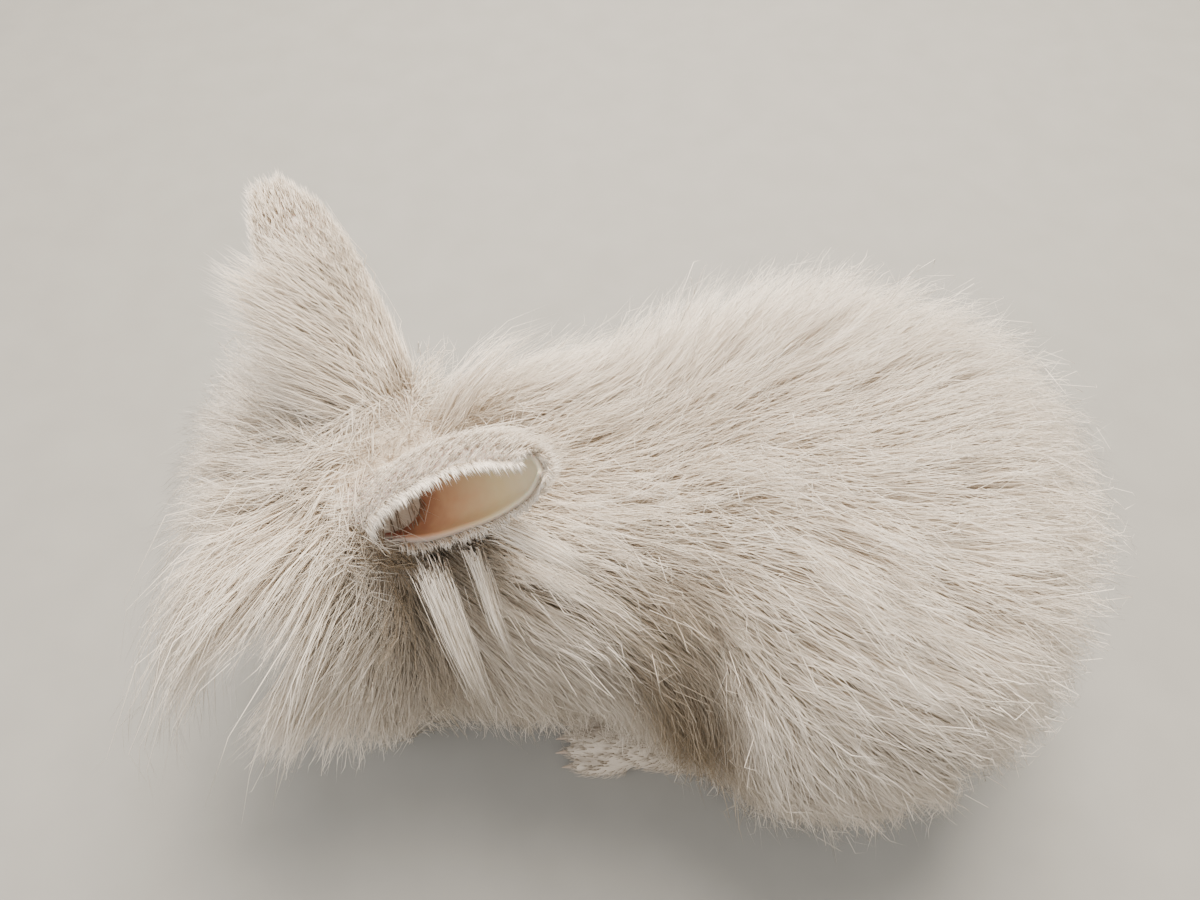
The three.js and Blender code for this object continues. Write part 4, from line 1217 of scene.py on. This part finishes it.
# %% Down
DOWN_HAIRS = 34000
DOWN_WIDTH = 0.24
SHORT_TAPER = np.array([1.0, 0.75])
in_mane = smooth(-40, -75, strand_root[:, 0])
by_crown = wool_length(strand_root)[1]
chance = 1 + in_mane + 3 * by_crown
beside = rng.choice(len(strand_path), DOWN_HAIRS, p=chance / chance.sum())
calm = mix(1, 0.5, in_mane[beside])
start = rng.uniform(0.2, 0.85, DOWN_HAIRS)
reach = rng.uniform(0.25, 0.5, DOWN_HAIRS)
down_path = along_path(strand_path[beside], start[:, None] + reach[:, None] * np.array([0, 0.5, 1]))
down_out = strand_out[beside]
lift = rng.uniform(-0.5, 4, (DOWN_HAIRS, 1, 1)) * np.array([0, 0.4, 1])[None, :, None]
astray = rng.normal(0, 1, (DOWN_HAIRS, 3, 3)) * np.array([0.8, 1.5, 2.6])[None, :, None]
astray = astray * calm[:, None, None]
aside = rng.normal(0, 1.6, (DOWN_HAIRS, 1, 3))
down_path = within_coat(clear_of_ears(down_path + aside + astray + lift * down_out[:, None]), 5)
down_path[:, :, 2] = np.maximum(down_path[:, :, 2], OFF_FLOOR)
kept = ~before_eye(down_path).any(1)
beside = beside[kept]
down_from = strand_from[beside] + (1 - strand_from[beside]) * start[kept]
share_out(
    "down", down_path[kept], DOWN_WIDTH * rng.uniform(0.7, 1.3, kept.sum()), down_out[kept],
    np.clip(strand_light[beside] + rng.normal(0, 0.1, kept.sum()), 0, 1), strand_shade_and_grey[beside],
    strand_root[beside], np.minimum(down_from + 0.1, 1), SHORT_TAPER,
)


# %% [markdown]
# On the face, legs and feet the fur is only a few millimetres long and lies nearly flat, so
# its tufts are small and bend close over the skin. They lie away from the nose on the face,
# and down the legs towards the toes.

# %% Short fur: where it grows, its lie and its length
SHORT_WIDTH = 0.38
SHORT_OFF_FLOOR = 0.4
HAIR_LIFT = (14, 34)  # degrees off the skin at the root
NOSE_TIP = on_head(58, 0, 2)
LEG_DOWN = unit(np.array(FORELEG[1], float) - np.array(FORELEG[0], float))


def short_lie(p):
    """Away from the nose on the face, down the legs and forward on the feet."""
    face = unit(p - NOSE_TIP + np.array([0, 0, -4.0]))
    leg = LEG_DOWN * np.column_stack([np.ones(len(p)), np.sign(p[:, 1]), np.ones(len(p))])
    forward = np.array([-1, 0, -0.12])
    on_foot = smooth(30, 17, p[:, 2])[:, None]
    foot = unit(mix(leg, forward, on_foot))
    is_face = smooth(4, 12, legs_skin(p))[:, None]
    return unit(mix(foot, face, is_face))


def short_length(p):
    """3 mm at the nose and 4 at the toes, longer towards the cheeks and up the legs."""
    forward = to_head(p)[:, 0]
    face = mix(3.0, 11, smooth(50, 0, forward)) + 10 * smooth(0, 0.6, long_wool(p))
    leg = mix(4.2, 12, smooth(12, 45, p[:, 2]))
    return mix(leg, face, smooth(4, 12, legs_skin(p)))


def short_density(p, normal):
    q = mirrored(to_head(p))
    eye = q - np.array(EYE)
    in_eye = (round_eye(q, LID_FUR) < 1) & (eye @ EYE_OUT > 0)
    on_nose = np.linalg.norm(q - nostril, axis=-1) < 4.5
    in_mouth = line(q, cleft, 0) < 1.2
    in_mouth |= line(q, mouth, 0) < 1.4
    sole = (normal[:, 2] < -0.5) & (p[:, 2] < 6)
    rate = mix(1.15, 0.5, smooth(20, -10, q[:, 0]))
    rate = rate * mix(0.85, 1, smooth(4, 12, legs_skin(p)))
    return rate * smooth(0.95, 0.5, long_wool(p)) * ~(in_eye | on_nose | in_mouth | sole)


def short_paths(roots, normal, lie, length, lift):
    """Short hairs that leave the skin at an angle and bend down along the lie."""
    along = across(lie, normal)
    half = (length / 2)[:, None]
    rise = np.asarray(lift)[..., None] * np.ones((len(roots), 1))
    middle = roots + half * (along * np.cos(rise) + normal * np.sin(rise))
    tip = middle + half * (along * np.cos(rise * 0.4) + normal * np.sin(rise * 0.4))
    return np.stack([roots - normal * 0.4, middle, tip], 1)


short_roots, short_normal = scatter(SKIN_POINTS, SKIN_TRIANGLES, short_density, rng)
count = len(short_roots)
way = short_lie(short_roots) + rng.normal(0, 0.14, (count, 3))
short_path = short_paths(
    short_roots, short_normal, way, short_length(short_roots) * rng.uniform(0.75, 1.2, count),
    np.radians(rng.uniform(*HAIR_LIFT, count)),
)
short_path[:, :, 2] = np.maximum(short_path[:, :, 2], SHORT_OFF_FLOOR)
kept = ~before_eye(short_path).any(1)
on_face_fur = legs_skin(short_roots) > 6
for name, slot, mine in (
    ("fur_face", "head", kept & on_face_fur),
    ("fur_legs_left", "foreleg_left", kept & ~on_face_fur & (short_roots[:, 1] < 0)),
    ("fur_legs_right", "foreleg_right", kept & ~on_face_fur & (short_roots[:, 1] >= 0)),
):
    n = mine.sum()
    coat_piece(
        name, short_path[mine], SHORT_WIDTH * rng.uniform(0.8, 1.3, n), short_normal[mine],
        rng.uniform(0.3, 0.8, n), painted_shade_and_patches(short_roots[mine]), slot, along_from=0.45, taper=SHORT_TAPER,
    )


# %% [markdown]
# The outside of an ear is dense velvet a few millimetres deep. Longer white hairs edge the
# rim all round and make a small brush at the tip, so the bare cup shows only through a slit.

# %% Velvet on the back of each ear
def ear_frame(ear, t, turn):
    """Where a hair starts on an ear, which way is out and which way is the tip."""
    at = ear_point(ear, t, turn, 0.0)
    normal = unit(at - ear_point(ear, t, turn, 1.0))
    ahead = unit(ear_point(ear, t + 0.02, turn, 0.0) - at)
    return at, normal, ahead


EAR_GREY = {"left": 0.15, "right": 0.35}
EAR_SHAG = {"left": 1.0, "right": 3.2}  # how many times longer the fur is at the root
VELVET_HAIRS = 5600
VELVET_WIDTH = 0.3
RIM_HAIRS = 1500
for ear in EARS:
    t = rng.uniform(0.02, 1, VELVET_HAIRS) ** 0.9
    turn = rng.uniform(-1, 1, VELVET_HAIRS)
    at, normal, ahead = ear_frame(ear, t, turn)
    ahead = ahead + rng.normal(0, 0.16, ahead.shape)
    length = rng.uniform(3.5, 7, len(t)) * mix(EAR_SHAG[ear], 1, smooth(0, 0.65, t))
    path = short_paths(at, normal, ahead, length, np.radians(rng.uniform(*HAIR_LIFT, len(t))))
    speckle = np.clip(EAR_GREY[ear] + rng.normal(0, 0.22, len(t)), 0, 1)
    coat_piece(
        f"fur_ear_{ear}", path, VELVET_WIDTH * rng.uniform(0.8, 1.3, len(t)), normal,
        rng.uniform(0.3, 0.9, len(t)), speckle * smooth(1.0, 0.7, np.abs(turn)), f"ear_{ear}",
        along_from=0.55, taper=SHORT_TAPER, uv=np.column_stack([t, turn]),
    )


# %% White hairs along the rim
for ear in EARS:
    t = rng.uniform(0.08, 1, RIM_HAIRS) ** 0.8
    turn = np.sign(rng.uniform(-1, 1, RIM_HAIRS)) * rng.uniform(0.93, 1, RIM_HAIRS)
    tip = rng.random(RIM_HAIRS) < 0.2
    t = np.where(tip, rng.uniform(0.97, 1, RIM_HAIRS), t)
    turn = np.where(tip, rng.uniform(-1, 1, RIM_HAIRS), turn)
    at, normal, ahead = ear_frame(ear, t, turn)
    out = ear_directions(ear)[2]
    inward = unit(ear_point(ear, t, turn * 1.02, 0.0) - at)
    way = unit(ahead * 0.9 + inward * rng.uniform(0.2, 0.9, (RIM_HAIRS, 1)) + out * 0.2)
    length = mix(7.5, 4.5, t) * rng.uniform(0.7, 1.3, RIM_HAIRS)
    path = np.stack([at, at + way * length[:, None] * 0.5 + normal * 0.6,
                     at + way * length[:, None] + normal * 0.4 + out * 0.08 * length[:, None]], 1)
    coat_piece(
        f"fringe_ear_{ear}", path, SHORT_WIDTH * rng.uniform(0.7, 1.2, RIM_HAIRS), normal,
        rng.uniform(0.6, 1, RIM_HAIRS), np.full(RIM_HAIRS, 0.0), f"ear_{ear}", along_from=0.8,
        taper=SHORT_TAPER, uv=np.column_stack([t, turn]),
    )


# %% [markdown]
# A few strong white locks stand out from the rest: they grow under the laid-back ear and
# from the crown, and fall over the neck. Side bangs join the hair over the face to the
# cheeks. Each is a sheaf of strands about one curved path, which is quicker to aim than combed
# wool. Long fluff also grows on the lower part of the raised ear.

# %% White locks
def curved(points, count):
    """Points along a smooth path through a few points."""
    points = np.array(points, float)
    at = np.linspace(0, 1, count)
    return np.stack([curve_through(list(points[:, n]), at) for n in range(3)], 1)


WHITE_LOCKS = [
    # path from the skin outwards, strands, spread at the root and at the tip in mm
    ([(-60, -30, 126), (-53, -45, 148), (-46, -61, 124), (-40, -70, 80)], 300, 4.2, 2.4),
    ([(-48, -27, 128), (-42, -40, 152), (-36, -54, 136), (-31, -62, 112)], 90, 2.5, 1.6),
    ([(-44, -20, 132), (-32, -34, 157), (-18, -41, 155), (-4, -46, 146)], 200, 4.0, 3.0),
    ([(-56, -6, 138), (-44, -8, 160), (-28, -8, 165), (-10, -12, 160)], 90, 5.0, 4.0),
    ([(-58, 6, 139), (-46, 14, 161), (-34, 24, 166), (-20, 36, 160)], 130, 6.0, 5.0),
]
for number, (points, strands, root_gap, tip_gap) in enumerate(WHITE_LOCKS):
    gap = np.linspace(root_gap, tip_gap, 4)[None, :, None]
    path = curved(points, 4)[None] + rng.normal(0, 0.5, (strands, 1, 3)) * gap
    path = path + rng.normal(0, 0.7, (strands, 4, 3))
    path[:, 0] = settle(body_skin, path[:, 0], 3)
    path = along_path(path, rng.uniform(0.5, 1, (strands, 1)) * np.linspace(0, 1, 4))
    coat_piece(
        f"white_lock_{number}", path, STRAND_WIDTH * rng.uniform(0.7, 1.2, strands),
        unit(slope_of(body_skin, path[:, 2])), rng.uniform(0.3, 0.9, strands), np.zeros(strands),
        "neck", along_from=0.6,
    )


# %% Side bangs, fuller on the left
BANGS_GAP = np.array([10, 18, 20, 17])[None, :, None]  # spread of a sheaf from root to tip
BANGS_ROOTS = 22  # how far a root may lie from the start of its sheaf
ON_SKIN = 0.5  # how far a root may lie off the skin
SIDE_BANGS = [
    # path from the skin outwards, strands
    ("left_front", [(-98, -18, 130), (-119, -40, 130), (-137, -55, 108), (-149, -62, 74)], 500),
    ("left_rear", [(-92, -20, 128), (-110, -48, 126), (-124, -66, 96), (-134, -72, 56)], 500),
    ("right_front", [(-98, 18, 130), (-119, 42, 128), (-133, 58, 104), (-141, 66, 72)], 300),
]
for word, points, strands in SIDE_BANGS:
    path = curved(points, 4)[None] + rng.normal(0, 0.5, (strands, 1, 3)) * BANGS_GAP
    path = path + rng.normal(0, 1.2, (strands, 4, 3))
    path[:, 0] = settle(body_skin, path[:, 0], 6)
    seated = np.linalg.norm(path[:, 0] - np.array(points[0]), axis=1) < BANGS_ROOTS
    seated &= np.abs(body_skin(path[:, 0])) < ON_SKIN
    path = along_path(path, rng.uniform(0.6, 1, (strands, 1)) * np.linspace(0, 1, 4))
    path, kept = trimmed(within_coat(path, 4))
    path = path[kept & seated]
    coat_piece(
        f"bangs_{word}", path, STRAND_WIDTH * rng.uniform(0.7, 1.2, len(path)),
        unit(slope_of(body_skin, path[:, 2])), rng.uniform(0.3, 0.8, len(path)),
        np.full(len(path), 0.06), "head", along_from=0.3,
    )


# %% Fluff on the raised ear
FLUFF = 4200
FLUFF_TOP = 0.68  # how far up the ear it grows
t = rng.uniform(0.0, FLUFF_TOP, FLUFF)
turn = rng.uniform(-1, 1, FLUFF)
at, normal, ahead = ear_frame("right", t, turn)
reach = rng.uniform(18, 44, FLUFF)[:, None] * mix(1.0, 0.5, t / FLUFF_TOP)[:, None]
away = unit(normal * 0.6 + ahead * 0.8 + np.array([-0.7, 0, 0.1]) + rng.normal(0, 0.2, (FLUFF, 3)))
bent = unit(away * 0.6 + ahead * 0.5 + np.array([-0.5, 0, -0.1]))
fluff = np.stack([at, at + away * reach * 0.35, at + (away * 0.35 + bent * 0.35) * reach,
                  at + (away * 0.35 + bent * 0.65) * reach], 1)
fluff = fluff + rng.normal(0, 0.8, fluff.shape)
coat_piece(
    "fluff_ear_right", fluff, STRAND_WIDTH * rng.uniform(0.6, 1.1, FLUFF), normal,
    rng.uniform(0.4, 0.9, FLUFF), np.full(FLUFF, 0.1), "ear_right", along_from=0.5,
    uv=np.column_stack([t, turn]),
)


# %% [markdown]
# Whiskers, lashes and claws are all one shape at different sizes: a curved spike with a round
# section that tapers to a point. One Geometry Nodes tree makes the spike and sets it on
# points that carry a direction and a size, so its proportions stay easy to change.

# %% The spike tree
def spike_tree(name):
    tree = bpy.data.node_groups.new(name, "GeometryNodeTree")
    face = tree.interface
    face.new_socket("Roots", in_out="INPUT", socket_type="NodeSocketGeometry")
    for label in ("Length", "Root Radius", "Tip Radius", "Droop"):
        face.new_socket(label, in_out="INPUT", socket_type="NodeSocketFloat")
    face.new_socket("Material", in_out="INPUT", socket_type="NodeSocketMaterial")
    face.new_socket("Spikes", in_out="OUTPUT", socket_type="NodeSocketGeometry")
    given = add(tree, "NodeGroupInput").outputs
    half = add(tree, "ShaderNodeMath", {0: given["Length"]}, operation="MULTIPLY", _1=0.5)
    middle = add(tree, "ShaderNodeCombineXYZ", {"Z": half.outputs[0]})
    end = add(tree, "ShaderNodeCombineXYZ", {"X": given["Droop"], "Z": given["Length"]})
    spine = add(
        tree,
        "GeometryNodeCurveQuadraticBezier",
        {"Middle": middle.outputs[0], "End": end.outputs[0]},
        Resolution=8,
        Start=(0, 0, 0),
    )
    place = add(tree, "GeometryNodeSplineParameter")
    radius = add(
        tree,
        "ShaderNodeMapRange",
        {"Value": place.outputs["Factor"], "To Min": given["Root Radius"], "To Max": given["Tip Radius"]},
    )
    section = add(tree, "GeometryNodeCurvePrimitiveCircle", Resolution=6, Radius=1.0)
    spike = add(
        tree,
        "GeometryNodeCurveToMesh",
        {"Curve": spine.outputs[0], "Profile Curve": section.outputs[0], "Scale": radius.outputs[0]},
        Fill_Caps=True,
    )
    way = add(tree, "GeometryNodeInputNamedAttribute", data_type="FLOAT_VECTOR", Name="way")
    size = add(tree, "GeometryNodeInputNamedAttribute", data_type="FLOAT", Name="size")
    aim = add(tree, "FunctionNodeAlignRotationToVector", {"Vector": way.outputs[0]}, axis="Z")
    roots = add(tree, "GeometryNodeMeshToPoints", {"Mesh": given["Roots"]})
    placed = add(
        tree,
        "GeometryNodeInstanceOnPoints",
        {
            "Points": roots.outputs[0],
            "Instance": spike.outputs[0],
            "Rotation": aim.outputs[0],
            "Scale": size.outputs[0],
        },
    )
    plain = add(tree, "GeometryNodeRealizeInstances", {"Geometry": placed.outputs[0]})
    coloured = {"Geometry": plain.outputs[0], "Material": given["Material"]}
    finished = add(tree, "GeometryNodeSetMaterial", coloured)
    add(tree, "NodeGroupOutput", {0: finished.outputs[0]})
    return tree


spikes = spike_tree("tapered_spikes")


def spike_piece(name, at, way, size, slot, material, **sizes):
    """One mesh of spikes on points in the rabbit's frame, each along its own way."""
    roots = bpy.data.meshes.new(f"{name}_roots")
    roots.from_pydata(metres(at).tolist(), [], [])
    for label, kind, values in (("way", "FLOAT_VECTOR", way), ("size", "FLOAT", size)):
        layer = roots.attributes.new(label, kind, "POINT")
        key = "vector" if kind == "FLOAT_VECTOR" else "value"
        layer.data.foreach_set(key, np.asarray(values, np.float32).ravel())
    holder = bpy.data.objects.new(f"{name}_roots", roots)
    bpy.context.scene.collection.objects.link(holder)
    modifier = holder.modifiers.new("spikes", "NODES")
    modifier.node_group = spikes
    values = {**sizes, "Material": material}
    for item in spikes.interface.items_tree:
        label = item.name.replace(" ", "_")
        if item.in_out == "INPUT" and label in values:
            modifier[item.identifier] = values[label]
    graph = bpy.context.evaluated_depsgraph_get()
    mesh = bpy.data.meshes.new_from_object(holder.evaluated_get(graph))
    bpy.data.objects.remove(holder)
    mesh.polygons.foreach_set("use_smooth", np.ones(len(mesh.polygons), bool))
    made = bpy.data.objects.new(name, mesh)
    bpy.context.scene.collection.objects.link(made)
    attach(made, "root")
    print(name, len(at), "spikes,", len(mesh.polygons), "faces")


# %% Horn and whisker: both keratin, the claw thick and pale horn, the whisker a clear bristle
def keratin_material(name, colour, roughness, coat):
    material, tree = new_material(name)
    surface = add(
        tree, "ShaderNodeBsdfPrincipled", Base_Color=linear(colour), Roughness=roughness, IOR=1.54,
        Coat_Weight=coat,
    )
    add(tree, "ShaderNodeOutputMaterial", {"Surface": surface.outputs[0]})
    return material


claw_horn = keratin_material("claw_horn", "#B9A390", 0.35, 0.2)
whisker_bristle = keratin_material("whisker_bristle", "#F1ECE6", 0.3, 0.0)
lash_hair = keratin_material("lash_hair", "#4A382C", 0.5, 0.0)


def to_world(ways):
    """Directions in the head's frame, turned to the rabbit's frame."""
    return unit(np.asarray(ways, float) @ HEAD_AXES)


# %% Whiskers in rows on the pads, and lashes on the upper lids
WHISKER_ROWS = 4
WHISKERS_IN_ROW = 5
LASHES = 22
LASH_LINE = (7.9, 6.2, 5.4)  # half width, half height and depth of the row of roots
whisker_at, whisker_way, lash_at, lash_way = [], [], [], []
for side in (1, -1):
    for row in range(WHISKER_ROWS):
        for place in range(WHISKERS_IN_ROW):
            forward = 51 - 3.4 * place
            whisker_at.append(on_head(forward, side * (9 + 0.9 * place), -4 - 3.0 * row))
            spread = [0.55 - 0.3 * place, side * 1.2, 0.3 - 0.28 * row]
            whisker_way.append(np.array(spread) + rng.normal(0, 0.08, 3))
    for n in range(LASHES):
        turn = math.radians(12 + 156 * n / (LASHES - 1))
        wide, high, deep = LASH_LINE
        rim = wide * math.cos(turn) * EYE_ALONG + high * math.sin(turn) * EYE_ABOVE + deep * EYE_OUT
        lash_at.append(on_head(*((EYE + rim) * [1, side, 1])))
        fan = 0.7 * math.cos(turn) * EYE_ALONG + 0.55 * math.sin(turn) * EYE_ABOVE + EYE_OUT
        lash_way.append(fan * [1, side, 1])
spike_piece(
    "whiskers", settle(head_skin, np.array(whisker_at), 4), to_world(whisker_way),
    rng.uniform(0.6, 1.15, len(whisker_at)), "head", whisker_bristle, Length=0.046, Root_Radius=0.00013,
    Tip_Radius=0.00003, Droop=0.006,
)
spike_piece(
    "lashes", settle(skin, np.array(lash_at), 4), to_world(lash_way),
    rng.uniform(0.7, 1.1, len(lash_at)), "head", lash_hair, Length=0.007, Root_Radius=0.00012,
    Tip_Radius=0.00003, Droop=0.0012,
)


# %% Claws, one for each toe
CLAW = 0.0062
for word, (at, size, toe, spread) in (("forepaw", FOREPAW), ("hindpaw", HINDPAW)):
    for side_word, side in (("left", -1), ("right", 1)):
        tips = []
        for t in range(TOES):
            front, aside = toe_place(t, at, size, toe, spread)
            tips.append((front - toe[0] * 0.86, side * aside, toe[2] * 0.95))
        spike_piece(
            f"claws_{word}_{side_word}", np.array(tips),
            np.tile(unit(np.array([-1.0, 0, -0.3])), (TOES, 1)), np.ones(TOES), f"{word}_{side_word}",
            claw_horn, Length=CLAW, Root_Radius=0.0011, Tip_Radius=0.0002, Droop=-0.001,
        )


# %% [markdown]
# The camera looks down on the rabbit's left side from about 20 cm above its back, as in the
# photograph. The floor is plain and pale, and the light is soft: a wide panel above the far
# side, a weaker one from the near front, and a pale surround.

# %% Camera, floor and light
CAMERA_AT = np.array([-7, -148, 380])
LOOK = np.array([0, 0.530, -0.848])
FOCAL_PIXELS = 902
PHOTO_WIDTH = 1200
SENSOR = 36
FLOOR_HALF = 2.5
FLOOR_COLOURS = [(0.3, "#8F8C85"), (0.7, "#939089")]

camera = bpy.data.objects.new("camera", bpy.data.cameras.new("camera"))
camera.data.sensor_width = SENSOR
camera.data.lens = SENSOR * FOCAL_PIXELS / PHOTO_WIDTH
camera.location = metres(CAMERA_AT)
camera.rotation_euler = Vector(LOOK).to_track_quat("-Z", "Y").to_euler()
bpy.context.scene.collection.objects.link(camera)
bpy.context.scene.camera = camera

floor_material, floor_tree = new_material("matt_painted_floor")
floor_place = add(floor_tree, "ShaderNodeTexCoord")
floor_noise = add(floor_tree, "ShaderNodeTexNoise", {"Vector": floor_place.outputs["Object"]}, Scale=40)
floor_colour = add(floor_tree, "ShaderNodeValToRGB", {"Fac": floor_noise.outputs[0]}, stops=FLOOR_COLOURS)
floor_base = {"Base Color": floor_colour.outputs[0]}
floor_surface = add(floor_tree, "ShaderNodeBsdfPrincipled", floor_base, Roughness=0.7)
add(floor_tree, "ShaderNodeOutputMaterial", {"Surface": floor_surface.outputs[0]})
floor_mesh = bpy.data.meshes.new("floor")
floor_corners = [(x * FLOOR_HALF, y * FLOOR_HALF, 0) for x, y in ((-1, -1), (1, -1), (1, 1), (-1, 1))]
floor_mesh.from_pydata(floor_corners, [], [(0, 1, 2, 3)])
floor_mesh.materials.append(floor_material)
floor = bpy.data.objects.new("floor", floor_mesh)
bpy.context.scene.collection.objects.link(floor)
floor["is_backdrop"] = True


def panel(name, at, size, watts, colour):
    light = bpy.data.lights.new(name, "AREA")
    light.shape = "DISK"
    light.size = size
    light.energy = watts
    light.color = linear(colour)[:3]
    lamp = bpy.data.objects.new(name, light)
    lamp.location = at
    lamp.rotation_euler = (Vector((0, 0, 0.08)) - Vector(at)).to_track_quat("-Z", "Y").to_euler()
    bpy.context.scene.collection.objects.link(lamp)


panel("key", (0.1, 0.55, 1.15), 0.9, 50, "#FFF6EA")
panel("fill", (-0.7, -0.7, 0.9), 0.9, 7, "#F3F6FF")
world = bpy.data.worlds.new("pale_studio")
world.use_nodes = True
world.node_tree.nodes["Background"].inputs[0].default_value = linear("#EFEDE8")
world.node_tree.nodes["Background"].inputs[1].default_value = 1.15
bpy.context.scene.world = world


# %% Sizes, and the end
low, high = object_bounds()
print("visual box:", [round(x, 3) for x in high - low], "metres")
